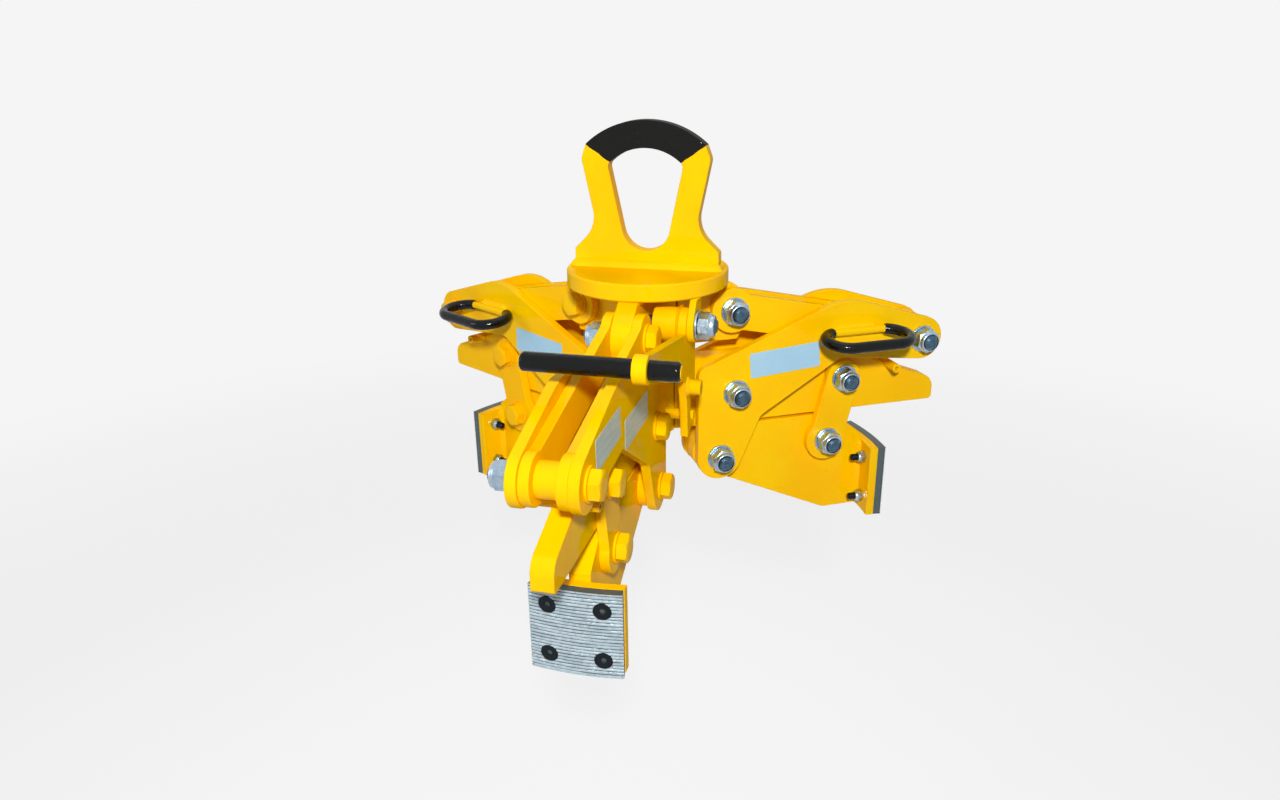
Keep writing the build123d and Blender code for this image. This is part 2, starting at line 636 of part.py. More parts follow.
def build_latch():
    """The latch, its pivot stud and ear on the suspension, and its catch bar on the hub."""
    grip = from_latch(GRIP_OUT, GRIP_UP)
    bore = LATCH_STUD_RADIUS + RUNNING_FIT
    ring_start = LATCH_INNER_X + RING_OFFSET
    ring_end = ring_start + RING_LENGTH
    sleeve = ring_at(LATCH_PIVOT, SLEEVE_RADIUS, bore)
    add("latch_plate", latch_plate())
    add("latch_sleeve", cross_slab(sleeve, MIDDLE_OUT + SLEEVE_END_GAP, LATCH_OUTER_X))
    ring = ring_at(grip, RING_RADIUS, GRIP_ROD_RADIUS + RUNNING_FIT)
    add("latch_ring", cross_slab(ring, ring_start, ring_end))
    left_end = LATCH_INNER_X - GRIP_LEFT
    right_end = LATCH_INNER_X + GRIP_RIGHT
    add("latch_grip_rod", cross_slab(disc_at(grip, GRIP_ROD_RADIUS), left_end, right_end))
    hose = ring_at(grip, GRIP_RADIUS, GRIP_ROD_RADIUS + RUNNING_FIT)
    add("latch_grips", cross_slab(hose, left_end, ring_start), cross_slab(hose, ring_end, right_end))
    knob = disc_at(from_latch(KNOB_OUT, -KNOB_DOWN), KNOB_RADIUS)
    add("latch_knob", cross_slab(knob, LATCH_OUTER_X, LATCH_OUTER_X + KNOB_LENGTH))

    root = Line((-EAR_OUTER, DISC_BOTTOM), (-EAR_INNER, DISC_BOTTOM))
    ear = make_hull(ShapeList([root, *disc_at(LATCH_PIVOT, SLEEVE_RADIUS).edges()]))
    add("latch_ear", cross_slab(ear - disc_at(LATCH_PIVOT, bore), EAR_INNER_X, EAR_OUTER_X))
    stud_end = EAR_OUTER_X + NUT_REACH
    add("latch_stud", cross_slab(disc_at(LATCH_PIVOT, LATCH_STUD_RADIUS), -CENTRE_FACE, stud_end))
    seat = EAR_OUTER_X + WASHER_THICKNESS
    washer = ring_at(LATCH_PIVOT, WASHER_RADIUS, LATCH_STUD_RADIUS + WASHER_FIT)
    nut = cross_slab(hexagon_at(LATCH_PIVOT, HEAD_FLATS), seat, seat + NUT_HEX_HEIGHT)
    collar_start = seat + NUT_HEX_HEIGHT
    collar_end = collar_start + NUT_COLLAR_HEIGHT
    nut += cross_slab(disc_at(LATCH_PIVOT, NUT_COLLAR_RADIUS), collar_start, collar_end)
    nut -= cross_slab(disc_at(LATCH_PIVOT, bore), seat, collar_end)
    add("latch_stud_nut", cross_slab(washer, EAR_OUTER_X, seat), nut)

    catch_back = (LATCH_MOUTH_DEPTH + LATCH_TOE_BACK) / 2
    catch = from_latch(-catch_back, CATCH_GAP + CATCH_RADIUS - LATCH_TOE_DOWN)
    add("latch_catch", cross_slab(disc_at(catch, CATCH_RADIUS), CENTRE_FACE, LATCH_OUTER_X + CATCH_OVERRUN))


def build_middle():
    """The pieces on the tool's own axis."""
    add("lifting_eye", lifting_eye())
    add("suspension_disc", suspension_disc())
    boss = extrude(Circle(CENTRE_BOSS_RADIUS), LUG_DEPTH)
    add("centre_boss", Pos(0, 0, LUG_BOTTOM) * boss)
    core = RegularPolygon(CORE_FLATS / 2, 6, major_radius=False)
    add("hub_core", Pos(0, 0, TONGUE_BOTTOM) * extrude(core, TONGUE_TOP - TONGUE_BOTTOM))


build_middle()
for arm_name, arm_angle in ARM_ANGLES.items():
    build_arm(arm_name, arm_angle)
build_latch()

os.makedirs("parts", exist_ok=True)
for node_name, solids in NODES.items():
    shape = solids[0] if len(solids) == 1 else Compound(children=solids)
    export_step(shape, f"parts/{node_name}.step")
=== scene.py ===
import json
import math

import bmesh
import bpy
import numpy as np
from mathutils import Matrix, Vector

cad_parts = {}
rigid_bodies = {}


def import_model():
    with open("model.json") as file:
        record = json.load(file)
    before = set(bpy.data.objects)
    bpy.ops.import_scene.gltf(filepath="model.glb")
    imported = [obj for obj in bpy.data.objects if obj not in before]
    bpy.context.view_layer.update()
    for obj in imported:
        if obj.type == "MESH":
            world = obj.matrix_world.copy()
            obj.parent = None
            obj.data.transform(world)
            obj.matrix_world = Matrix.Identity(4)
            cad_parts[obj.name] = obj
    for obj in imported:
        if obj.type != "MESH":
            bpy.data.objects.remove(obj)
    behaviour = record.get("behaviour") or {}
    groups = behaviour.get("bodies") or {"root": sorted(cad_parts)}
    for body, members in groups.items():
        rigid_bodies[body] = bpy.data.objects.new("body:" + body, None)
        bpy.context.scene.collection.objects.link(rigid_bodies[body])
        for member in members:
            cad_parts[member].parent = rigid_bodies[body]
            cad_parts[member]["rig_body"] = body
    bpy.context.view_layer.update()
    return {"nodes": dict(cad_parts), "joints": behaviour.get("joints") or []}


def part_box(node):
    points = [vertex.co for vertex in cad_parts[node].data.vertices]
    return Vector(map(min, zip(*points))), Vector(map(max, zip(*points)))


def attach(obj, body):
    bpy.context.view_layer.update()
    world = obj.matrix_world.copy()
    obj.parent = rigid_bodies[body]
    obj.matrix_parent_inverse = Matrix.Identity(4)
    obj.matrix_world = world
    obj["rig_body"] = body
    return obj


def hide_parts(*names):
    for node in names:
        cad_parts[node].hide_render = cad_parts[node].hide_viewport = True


bl_info = {
    "name": "Internal Lifting Gripper",
    "version": (1, 0, 0),
    "blender": (4, 5, 0),
    "location": "3D View > Sidebar > Gripper",
    "description": "Paint, fasteners, welds, hoses and studio for a three-armed internal lifting gripper",
    "category": "Object",
}

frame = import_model()

# The gripper hangs from the origin, +Z up, in metres. Each arm is described as if it lay along +X:
# outwards is +X, bolt heads are on its +Y side, nuts on its -Y side. It is then turned to its own place.
MM = 0.001
OUTWARDS, ACROSS, UP = np.eye(3)
ARMS = ("front", "right", "left")
JOINTS = {joint["name"]: joint for joint in frame["joints"]}


def arm_pivot(joint_name):
    """A pivot of an arm as (outwards, 0, upwards)."""
    x, y, z = JOINTS[joint_name]["pos_m"]
    return np.array([math.hypot(x, y), 0.0, z])


def arm_angle(arm):
    """The direction in which an arm points, about the tool's axis."""
    x, y, z = JOINTS[arm + "_lever_pivot"]["pos_m"]
    return math.atan2(y, x)


def box_middle(node):
    """The middle of a node's box."""
    low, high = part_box(node)
    return np.array((low + high) / 2)


# Pivots of an arm, from the joints and from the spacer at the lever's tip
LUG_PIVOT = arm_pivot("front_top_link_pivot")
HUB_PIVOT = arm_pivot("front_lever_pivot")
ELBOW_PIVOT = arm_pivot("front_shoe_pivot")
HANGER_PIVOT = arm_pivot("front_hanger_pivot")
SHOE_PIVOT = ELBOW_PIVOT + HANGER_PIVOT - HUB_PIVOT
TIP_MIDDLE = box_middle("front_tip_spacer")
TIP_PIVOT = np.array([-TIP_MIDDLE[1], 0.0, TIP_MIDDLE[2]])

# Faces of an arm's plates, measured from its middle plane
CENTRE_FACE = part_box("front_tongue")[1].x
MIDDLE_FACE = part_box("front_top_links")[1].x
OUTER_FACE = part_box("front_lever_plates")[1].x

# Eye, disc and pad
EYE_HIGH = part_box("lifting_eye")[1]
EYE_EDGE_SHARE = 1.3
DISC_LOW, DISC_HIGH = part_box("suspension_disc")
LINING_LOW, LINING_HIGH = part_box("front_pad_lining")
PAD_PLATE_THICKNESS = 12.0 * MM
PAD_RADIUS = -LINING_LOW.y
PAD_BACK = -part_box("front_pad_plate")[0].y
PAD_PLATE_BACK = PAD_BACK - PAD_PLATE_THICKNESS
PAD_HALF_ANGLE = math.asin(LINING_HIGH.x / PAD_RADIUS)
PAD_HALF_HEIGHT = (LINING_HIGH.z - LINING_LOW.z) / 2
PAD_MIDDLE = (LINING_LOW.z + LINING_HIGH.z) / 2
PAD_SCREW_HALF_SPACING = 31.0 * MM
PAD_SCREW_SIDES = (-PAD_SCREW_HALF_SPACING, PAD_SCREW_HALF_SPACING)
PAD_SCREW_PLACES = [(across, up) for across in PAD_SCREW_SIDES for up in PAD_SCREW_SIDES]

# Pivot bolts, nuts and washers
BOLT_RADIUS = 10.0 * MM
BOLT_STUB = 3.0 * MM
HEAD_FLATS = 30.0 * MM
HEAD_HEIGHT = 12.5 * MM
WASHER_RADIUS = 18.5 * MM
WASHER_THICKNESS = 3.0 * MM
WASHER_LIFT = 0.05 * MM
NUT_HEX_HEIGHT = 15.0 * MM
NUT_COLLAR_HEIGHT = 5.0 * MM
NUT_COLLAR_RADIUS = 13.6 * MM
THREAD_PITCH = 2.5 * MM
SPIN_STEP = math.radians(137.5)

# Hollow stop pins
STOP_PIN_LOW, STOP_PIN_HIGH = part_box("stop_pins")
STOP_PIN_RADIUS = (STOP_PIN_HIGH.z - STOP_PIN_LOW.z) / 2
STOP_PIN_BORE = 0.42 * STOP_PIN_RADIUS
STOP_PIN_PLACE = (-STOP_PIN_LOW.y - STOP_PIN_RADIUS, 0, (STOP_PIN_HIGH.z + STOP_PIN_LOW.z) / 2)

# Pad screws and their small lock nuts
SCREW_RADIUS = 5.0 * MM
SCREW_HEAD_RADIUS = 10.0 * MM
SCREW_SINK = 0.6 * MM
SCREW_SOCKET_FLATS = 6.0 * MM
SCREW_SOCKET_DEPTH = 3.5 * MM
SCREW_STUB = 10.0 * MM
SMALL_NUT_FLATS = 16.0 * MM
SMALL_NUT_HEX = 7.0 * MM
SMALL_NUT_COLLAR = 3.0 * MM
SMALL_NUT_COLLAR_RADIUS = 7.2 * MM
SMALL_PITCH = 1.5 * MM
SEAT_GAP = 0.3 * MM

# Carrying handles, measured from the hub pivot
HANDLE_OUT = 171.0 * MM
HANDLE_UP = 73.0 * MM
HANDLE_DROOP = math.radians(5.2)
HANDLE_BAR_RADIUS = 5.0 * MM
HANDLE_HALF_STRAIGHT = 31.0 * MM
HANDLE_END_RADIUS = 27.5 * MM
HANDLE_LIFT = 7.0 * MM
HANDLE_SIDES = {"right": -1, "left": 1}
HOSE_RADIUS = 7.4 * MM
HOSE_BARE_ANGLE = math.radians(15.5)


def linear(code):
    """A linear colour from an sRGB hex code."""
    parts = np.array([int(code[i : i + 2], 16) / 255 for i in (1, 3, 5)])
    parts = np.where(parts <= 0.04045, parts / 12.92, ((parts + 0.055) / 1.055) ** 2.4)
    return (*parts.tolist(), 1.0)


def colour_property(name, description, code):
    return bpy.props.FloatVectorProperty(
        name=name, description=description, subtype="COLOR", size=4, min=0, max=1, default=linear(code)
    )


def length_property(name, description, size):
    return bpy.props.FloatProperty(
        name=name, description=description, subtype="DISTANCE", unit="LENGTH", precision=5, min=0,
        default=size
    )


def power_property(name, description, watts):
    return bpy.props.FloatProperty(name=name, description=description, unit="POWER", min=0, default=watts)


class GripperFinishes(bpy.types.PropertyGroup):
    """Colours of the gripper's finishes."""

    yellow: colour_property("Yellow", "Enamel on the steelwork", "#FFCC00")
    yellow_deep: colour_property("Deep yellow", "Enamel where the film is thicker", "#FFC000")
    crown_black: colour_property("Crown black", "Enamel on the crown of the lifting eye", "#1B1B1A")
    zinc: colour_property("Zinc", "Plating on lock nuts and their washers", "#B8C6D1")
    zinc_blue: colour_property("Zinc tint", "Blue passivation that drifts over the plating", "#92AEC6")
    oiled: colour_property("Oiled steel", "Ends of the pivot bolts", "#4E6A80")
    blackened: colour_property("Blackened steel", "Heads and ends of the pad screws", "#20282E")
    gripping: colour_property("Gripping steel", "Ridges of the pad linings", "#C0D1DA")
    gripping_dull: colour_property("Dull gripping steel", "Duller spangle between the bright", "#A4B8C2")
    gripping_side: colour_property("Cut sides", "Sawn sides of the pad linings", "#4B5B5E")
    # Painted shade: the colour laid in the grooves between the ridges, where shade falls
    grime: colour_property("Groove_shade", "Grooves between the ridges", "#3A4346")
    rust: colour_property("Rust", "Specks on the pad linings", "#8C6440")
    hose: colour_property("Hose", "Soft PVC on handles and latch grip", "#08090A")
    vinyl: colour_property("Label blue", "Blank vinyl labels on the side arms", "#A8D0E8")
    foil: colour_property("Label silver", "Blank foil labels on the front arm", "#B6D0D3")


class GripperSizes(bpy.types.PropertyGroup):
    """Sizes of the details that the paint shop and the fitter leave."""

    plate_edge: length_property("Plate edge", "Rounding of the painted plate edges", 1.2 * MM)
    small_edge: length_property("Small edge", "Rounding of bushes, bars and the latch", 0.8 * MM)
    hex_edge: length_property("Hexagon edge", "Rounding of bolt heads and nuts", 0.35 * MM)
    eye_weld: length_property("Eye weld", "Leg of the weld at the foot of the eye", 9.0 * MM)
    lug_weld: length_property("Lug weld", "Leg of the welds at lugs, tongues and shoes", 6.0 * MM)
    small_weld: length_property("Small weld", "Leg of the welds at handles and latch", 3.5 * MM)
    ridge_pitch: length_property("Ridge pitch", "Spacing of the ridges on the pad linings", 4.1 * MM)
    ridge_depth: length_property("Ridge depth", "Depth of the grooves on the pad linings", 1.3 * MM)
    label_length: length_property("Label length", "Length of the blank labels", 100.0 * MM)
    label_height: length_property("Label height", "Height of the blank labels", 35.0 * MM)
    label_thickness: length_property("Label thickness", "Thickness of the blank labels", 0.4 * MM)


class GripperStage(bpy.types.PropertyGroup):
    """The studio round the gripper."""

    backdrop: colour_property("Backdrop", "Colour of floor and surroundings", "#F5F5F5")
    floor_drop: length_property("Floor drop", "Height of the hook point above the floor", 1.5)
    ambient: bpy.props.FloatProperty(
        name="Ambient", description="Soft light from all round", min=0, max=2, default=0.11
    )
    key_power: power_property("Key light", "Power of the main softbox", 39.5)
    fill_power: power_property("Fill light", "Power of the softbox on the left", 8)
    top_power: power_property("Top light", "Power of the softbox overhead", 3)
    back_power: power_property("Back light", "Power of the softbox behind", 22)


def sizes():
    return bpy.context.scene.gripper_sizes


# Materials

def add_node(tree, kind, output, inputs, **settings):
    """Add a shader node with its settings, give its inputs values or links, return the output asked for."""
    node = tree.nodes.new("ShaderNode" + kind)
    for setting, value in settings.items():
        setattr(node, setting, value)
    for socket, value in inputs.items():
        if isinstance(value, bpy.types.NodeSocket):
            tree.links.new(value, node.inputs[socket])
        else:
            node.inputs[socket].default_value = value
    return node.outputs[output] if node.outputs else None


def new_material(name):
    """A material with nothing in it yet, its node tree and the object's own coordinates."""
    material = bpy.data.materials.new(name)
    material.use_nodes = True
    tree = material.node_tree
    tree.nodes.clear()
    return material, tree, add_node(tree, "TexCoord", "Object", {})


def finish(maker):
    """The material that a maker function describes, made once and named after it.

    The maker gets the tree, the place on the object and the colours, and gives the shader's inputs."""
    name = maker.__name__
    material = bpy.data.materials.get(name)
    if material is None:
        material, tree, place = new_material(name)
        surface = maker(tree, place, bpy.context.scene.gripper_finishes)
        surface = add_node(tree, "BsdfPrincipled", 0, surface)
        add_node(tree, "OutputMaterial", 0, {"Surface": surface})
    return material


def mottle(tree, place, patch, detail, low, high, least=0.0, most=1.0, coarse=0.5):
    """A value that drifts from least to most over patches of a given width.

    It is cloudy noise, stretched so that low gives least and high gives most."""
    clouds = {"Vector": place, "Scale": 1 / patch, "Detail": detail, "Roughness": coarse}
    clouds = add_node(tree, "TexNoise", 0, clouds)
    return add_node(tree, "MapRange", 0, {0: clouds, 1: low, 2: high, 3: least, 4: most})


def two_tone(tree, place, first, second, *mottling, **more):
    """A colour that drifts from a first one to a second one, as a mottle does."""
    share = mottle(tree, place, *mottling, **more)
    return add_node(tree, "Mix", 2, {0: share, 6: first, 7: second}, data_type="RGBA")


def grain(tree, place, width, detail, depth, strength):
    """A normal that tips over bumps of a given width and depth."""
    bumps = add_node(tree, "TexNoise", 0, {"Vector": place, "Scale": 1 / width, "Detail": detail})
    return add_node(tree, "Bump", 0, {"Height": bumps, "Distance": depth, "Strength": strength})


def from_axis(tree, place):
    """How far a place is from the tool's axis."""
    level = add_node(tree, "VectorMath", 0, {0: place, 1: (1.0, 1.0, 0.0)}, operation="MULTIPLY")
    return add_node(tree, "VectorMath", "Value", {0: level}, operation="LENGTH")


# Pigment without a shine of its own, under a thin clear skin
CLEAR_RESIN = {"Specular IOR Level": 0.0, "Coat Weight": 0.17, "Coat Roughness": 0.06}


def traffic_yellow_enamel(tree, place, paint):
    """Two-pack enamel sprayed on flame-cut plate: a deep warm yellow under clear resin with sharp glints.

    The yellow deepens in clouds a hand wide and carries specks of dust. The gloss changes slowly, and a
    faint orange peel 3 mm across ripples it."""
    film = two_tone(tree, place, paint.yellow, paint.yellow_deep, 90 * MM, 3.0, 0.35, 0.65)
    peel = grain(tree, place, 3 * MM, 1.0, 0.05 * MM, 0.4)
    return {
        "Base Color": two_tone(tree, place, film, linear("#D9A50A"), 7 * MM, 6.0, 0.62, 0.8, most=0.25),
        "Roughness": mottle(tree, place, 30 * MM, 3.0, 0.3, 0.7, 0.18, 0.3),
        "Normal": peel,
        "Coat Normal": peel,
        **CLEAR_RESIN,
    }


# The crown is black above a line from each window corner out to the crown's own corner
CROWN_LINE_START = (43.5 * MM, -18.0 * MM)
CROWN_LINE_RISE = 0.677


def crown_black_over_yellow(tree, place, paint):
    """The same enamel with a brushed black crown: its edge wavers a little and hooks have scuffed it grey."""
    enamel = traffic_yellow_enamel(tree, place, paint)
    across = add_node(tree, "SeparateXYZ", "X", {0: place})
    up = across.node.outputs["Z"]
    across = add_node(tree, "Math", 0, {0: across}, operation="ABSOLUTE")
    line = {0: across, 1: -CROWN_LINE_RISE, 2: CROWN_LINE_RISE * CROWN_LINE_START[0] - CROWN_LINE_START[1]}
    line = add_node(tree, "Math", 0, line, operation="MULTIPLY_ADD")
    above = add_node(tree, "Math", 0, {0: up, 1: line}, operation="ADD")
    waver = mottle(tree, place, 14 * MM, 3.0, 0.3, 0.7, -0.8 * MM, 0.8 * MM)
    above = add_node(tree, "Math", 0, {0: above, 1: waver}, operation="ADD")
    share = add_node(tree, "MapRange", 0, {0: above, 1: -0.2 * MM, 2: 0.2 * MM})
    worn = linear("#4A463C")
    black = two_tone(tree, place, paint.crown_black, worn, 5 * MM, 8.0, 0.6, 0.78, most=0.5, coarse=0.65)
    colour = {0: share, 6: enamel["Base Color"], 7: black}
    return enamel | {"Base Color": add_node(tree, "Mix", 2, colour, data_type="RGBA")}


def zinc_plated_steel(tree, place, paint):
    """Bright zinc with a blue passivation: clean metal that drifts from silver to pale blue over a few mm."""
    return {
        "Base Color": two_tone(tree, place, paint.zinc, paint.zinc_blue, 9 * MM, 4.0, 0.35, 0.65),
        "Roughness": mottle(tree, place, 2.5 * MM, 5.0, 0.3, 0.75, 0.22, 0.42),
        "Normal": grain(tree, place, 0.8 * MM, 3.0, 0.02 * MM, 0.3),
        "Metallic": 1.0,
    }


def oiled_steel(tree, place, paint):
    """Plain bolt steel under a film of oil: blue-grey, darker where the oil lies."""
    oil = linear("#2F4252")
    return {
        "Base Color": two_tone(tree, place, paint.oiled, oil, 5 * MM, 4.0, 0.35, 0.7, most=0.7),
        "Roughness": mottle(tree, place, 1.5 * MM, 3.0, 0.3, 0.7, 0.25, 0.4),
        "Metallic": 0.8,
    }


def blackened_steel(tree, place, paint):
    """Black-oxide steel: an oily blue-black that catches light on its turned edges."""
    patches = linear("#151A1E")
    return {
        "Base Color": two_tone(tree, place, paint.blackened, patches, 4 * MM, 5.0, 0.35, 0.7, most=0.6),
        "Roughness": mottle(tree, place, 1.5 * MM, 3.0, 0.3, 0.7, 0.28, 0.45),
        "Metallic": 0.85,
    }


def galvanised_gripping_steel(tree, place, paint):
    """Hot-dip galvanised ridges gone matt: pale crests, grooves with painted shade, and rust specks a few mm
    wide.

    Painted shade fills a narrow range of radius just below the gripping face, darkening the grooves, and the
    sides behind it are sawn steel that has gone dark."""
    depth = sizes().ridge_depth
    radius = from_axis(tree, place)
    # Painted shade in the grooves: strongest a little below the gripping face
    below = {0: radius, 1: PAD_RADIUS - 0.4 * depth, 2: PAD_RADIUS - 0.9 * depth}
    below = add_node(tree, "MapRange", 0, below)
    behind = {0: radius, 1: PAD_RADIUS - 1.4 * depth, 2: PAD_RADIUS - 2 * depth}
    behind = add_node(tree, "MapRange", 0, behind)
    specks = mottle(tree, place, 3.2 * MM, 6.0, 0.56, 0.68, most=0.75, coarse=0.7)
    colour = two_tone(tree, place, paint.gripping, paint.gripping_dull, 6 * MM, 4.0, 0.3, 0.7)
    for share, layer in ((below, paint.grime), (behind, paint.gripping_side), (specks, paint.rust)):
        colour = add_node(tree, "Mix", 2, {0: share, 6: colour, 7: layer}, data_type="RGBA")
    return {
        "Base Color": colour,
        "Roughness": mottle(tree, place, 1.2 * MM, 3.0, 0.3, 0.7, 0.38, 0.58),
        "Normal": grain(tree, place, 1.5 * MM, 4.0, 0.06 * MM, 0.5),
        "Metallic": add_node(tree, "MapRange", 0, {0: specks, 2: 0.75, 3: 0.3, 4: 0.0}),
    }


def pvc_hose(tree, place, paint):
    """Extruded soft PVC: deep black with a wet gloss, rippled every 7 mm where it was pulled on."""
    bloom = linear("#17181A")
    return {
        "Base Color": two_tone(tree, place, paint.hose, bloom, 12 * MM, 4.0, 0.5, 0.8, most=0.35),
        "Roughness": mottle(tree, place, 5 * MM, 3.0, 0.3, 0.7, 0.12, 0.22),
        "Normal": grain(tree, place, 7 * MM, 1.0, 0.9 * MM, 0.7),
        "Specular IOR Level": 0.22,
    }


def satin_vinyl(tree, place, paint):
    """Self-adhesive vinyl: a pale blue satin film with a fine cast grain."""
    faded = linear("#96C3DE")
    return {
        "Base Color": two_tone(tree, place, paint.vinyl, faded, 25 * MM, 3.0, 0.3, 0.7, most=0.5),
        "Roughness": 0.32,
        "Normal": grain(tree, place, 1.2 * MM, 3.0, 0.03 * MM, 0.4),
    }


def brushed_foil(tree, place, paint):
    """Brushed aluminium foil under lacquer: grey silver with hairlines along the arm.

    Real hairlines are finer than a render shows, so they are drawn 1 mm apart."""
    drawn = add_node(tree, "Mapping", 0, {"Vector": place, "Scale": (1.0, 0.03, 1.0)})
    return {
        "Base Color": two_tone(tree, drawn, paint.foil, linear("#98B4B8"), 1 * MM, 4.0, 0.3, 0.7),
        "Roughness": mottle(tree, drawn, 1 * MM, 4.0, 0.3, 0.7, 0.3, 0.5),
        "Metallic": 0.12,
    }


# Surfaces

ROUND_STEPS = 48
ROUND = np.linspace(0, 2 * np.pi, ROUND_STEPS, endpoint=False)


def quads(rows, columns, wrap_rows=False, wrap_columns=False):
    """Faces between neighbours on a grid of points, joined round where the grid closes on itself."""
    index = np.arange(rows * columns).reshape(rows, columns)
    if wrap_rows:
        index = np.concatenate([index, index[:1]])
    if wrap_columns:
        index = np.concatenate([index, index[:, :1]], axis=1)
    corners = [index[:-1, :-1], index[:-1, 1:], index[1:, 1:], index[1:, :-1]]
    return np.stack(corners, -1).reshape(-1, 4)


def around(radius, angle, height):
    """Points at a radius, an angle about +Z and a height."""
    return np.stack(np.broadcast_arrays(radius * np.cos(angle), radius * np.sin(angle), height), -1)


def turned(rows, wrap_rows=False):
    """A surface turned round +Z. Each row is (radius, height), as numbers or as values for each step."""
    points = np.array([around(radius, ROUND, height) for radius, height in rows])
    return points.reshape(-1, 3), quads(len(rows), ROUND_STEPS, wrap_rows, True)


def hexagon(flats):
    """Radius of a hexagon at each step: half the flats over the cosine of the angle from a flat's middle."""
    return flats / 2 / np.cos(ROUND % (np.pi / 3) - np.pi / 6)


# Hexagons: slope of the chamfer, the round that it leaves, a head's share of it at the foot, a nut's at the
# top, and the ring inside a head's top
CHAMFER_SLOPE = math.tan(math.radians(30))
CHAMFER_SHARE = 0.95
HEAD_FOOT_SHARE = 0.25
NUT_TOP_SHARE = 1.3
HEAD_RING_SHARE = 0.55


def chamfered_hexagon(flats):
    """Side of a hexagon, the round that a 30 degree cone leaves on it, and the cone's drop at each step."""
    side = hexagon(flats)
    ring = CHAMFER_SHARE * flats / 2
    return side, ring, (side - ring) * CHAMFER_SLOPE


def bolt_head(flats, height):
    """A hexagon cut by a cone: lowest at the corners, with an arched top to each flat."""
    side, ring, drop = chamfered_hexagon(flats)
    rows = [(0, 0), (ring, 0), (side, HEAD_FOOT_SHARE * drop), (side, height - drop), (ring, height)]
    return turned([*rows, (HEAD_RING_SHARE * ring, height), (0, height)])


# Lock nuts: bore against the hole, the rolled lip's place between hole and collar, the collar's outside as
# shares of its radius and height, the lip's inside as shares of its radius and that height, and the insert's
NUT_BORE_SHARE = 0.98
NUT_LIP_SHARE = 0.3
COLLAR_PROFILE = ((1.02, 0.0), (1.0, 0.1), (1.0, 0.55), (0.97, 0.8), (0.91, 0.95))
LIP_PROFILE = ((1.0, 0.04), (0.99, 0.35))
INSERT_DEPTH = 0.4


def lock_nut(flats, hex_height, collar_height, collar_radius, hole):
    """A hexagon chamfered at both ends, with a round collar whose rim is rolled in over the insert."""
    side, ring, drop = chamfered_hexagon(flats)
    top = hex_height + collar_height
    bore = NUT_BORE_SHARE * hole
    lip = hole + NUT_LIP_SHARE * (collar_radius - hole)
    rows = [(bore, 0), (ring, 0), (side, drop), (side, hex_height - NUT_TOP_SHARE * drop)]
    rows += [(out * collar_radius, hex_height + up * collar_height) for out, up in COLLAR_PROFILE]
    rows.append(((rows[-1][0] + lip) / 2, top))
    rows += [(share * lip, top - depth * collar_height) for share, depth in LIP_PROFILE]
    return turned([*rows, (bore, top - INSERT_DEPTH * collar_height)], wrap_rows=True)


# Softened edges: a washer's and a label's against their thickness, a pin's against its radius
WASHER_SOFT = 0.18
LABEL_SOFT = 0.3
PIN_SOFT = 0.1


def washer(outer, hole, thickness):
    """A flat ring with softened edges."""
    soft = WASHER_SOFT * thickness
    rows = [(hole, 0), (outer - soft, 0), (outer, soft)]
    return turned(rows + [(radius, thickness - height) for radius, height in rows[::-1]], wrap_rows=True)


def hollow_pin(radius, bore, length):
    """A rolled tube about its middle: an outer and an inner wall, joined by flat ends with softened edges."""
    half = length / 2
    soft = PIN_SOFT * radius
    rows = [(bore, soft - half), (bore + soft, -half), (radius - soft, -half), (radius, soft - half)]
    return turned(rows + [(out, -height) for out, height in rows[::-1]], wrap_rows=True)


# A thread's samples per pitch, its depth against the pitch, and the bolt's end as shares of its radius
THREAD_SAMPLES = 8
THREAD_DEPTH = 0.31
POINT_SHARE = 0.7
END_PROFILE = ((0.68, 0.0), (0.4, 0.03), (0.14, 0.04), (0.0, -0.06))


def threaded_end(radius, pitch, start, end):
    """A thread that winds round the axis once per pitch, cut back by a cone at its end and slightly domed."""
    heights = np.arange(start, end, pitch / THREAD_SAMPLES)[:, None]
    wave = np.abs(2 * ((heights / pitch - ROUND / (2 * np.pi)) % 1.0) - 1)
    crest = radius - THREAD_DEPTH * pitch * wave
    cone = POINT_SHARE * radius + (end - heights)
    thread = zip(np.minimum(crest, cone), heights[:, 0])
    dome = [(out * radius, end + up * radius) for out, up in END_PROFILE]
    return turned([(0, start), *thread, *dome])


def spun(points, angle):
    """Points turned about +Z."""
    cosine, sine = math.cos(angle), math.sin(angle)
    return points @ np.array([[cosine, sine, 0], [-sine, cosine, 0], [0, 0, 1]])


def carried(part, origin, axis, spin=0.0):
    """A part drawn round +Z, spun about itself and carried to an origin with +Z along the axis."""
    points, faces = part
    side = np.cross(UP, axis)
    side /= np.linalg.norm(side)
    rise = np.cross(axis, side)
    return spun(points, spin) @ np.array([side, rise, axis]) + origin, faces


def turned_to_arm(part, arm):
    """A part described on an arm along +X, turned to that arm's place."""
    points, faces = part
    return spun(points, arm_angle(arm)), faces


def tube(path, radii, up=UP, closed=False, steps=24):
    """A round section carried along a flat path: at each point a circle, square to the path.

    up is square to the path's plane."""
    tangent = np.roll(path, -1, 0) - np.roll(path, 1, 0) if closed else np.gradient(path, axis=0)
    tangent /= np.maximum(np.linalg.norm(tangent, axis=1, keepdims=True), 1e-12)
    side = np.cross(tangent, up)
    angle = np.linspace(0, 2 * np.pi, steps, endpoint=False)
    ring = side[:, None] * np.cos(angle)[:, None] + np.asarray(up) * np.sin(angle)[:, None]
    points = path[:, None] + np.broadcast_to(radii, len(path))[:, None, None] * ring
    return points.reshape(-1, 3), quads(len(path), steps, closed, True)


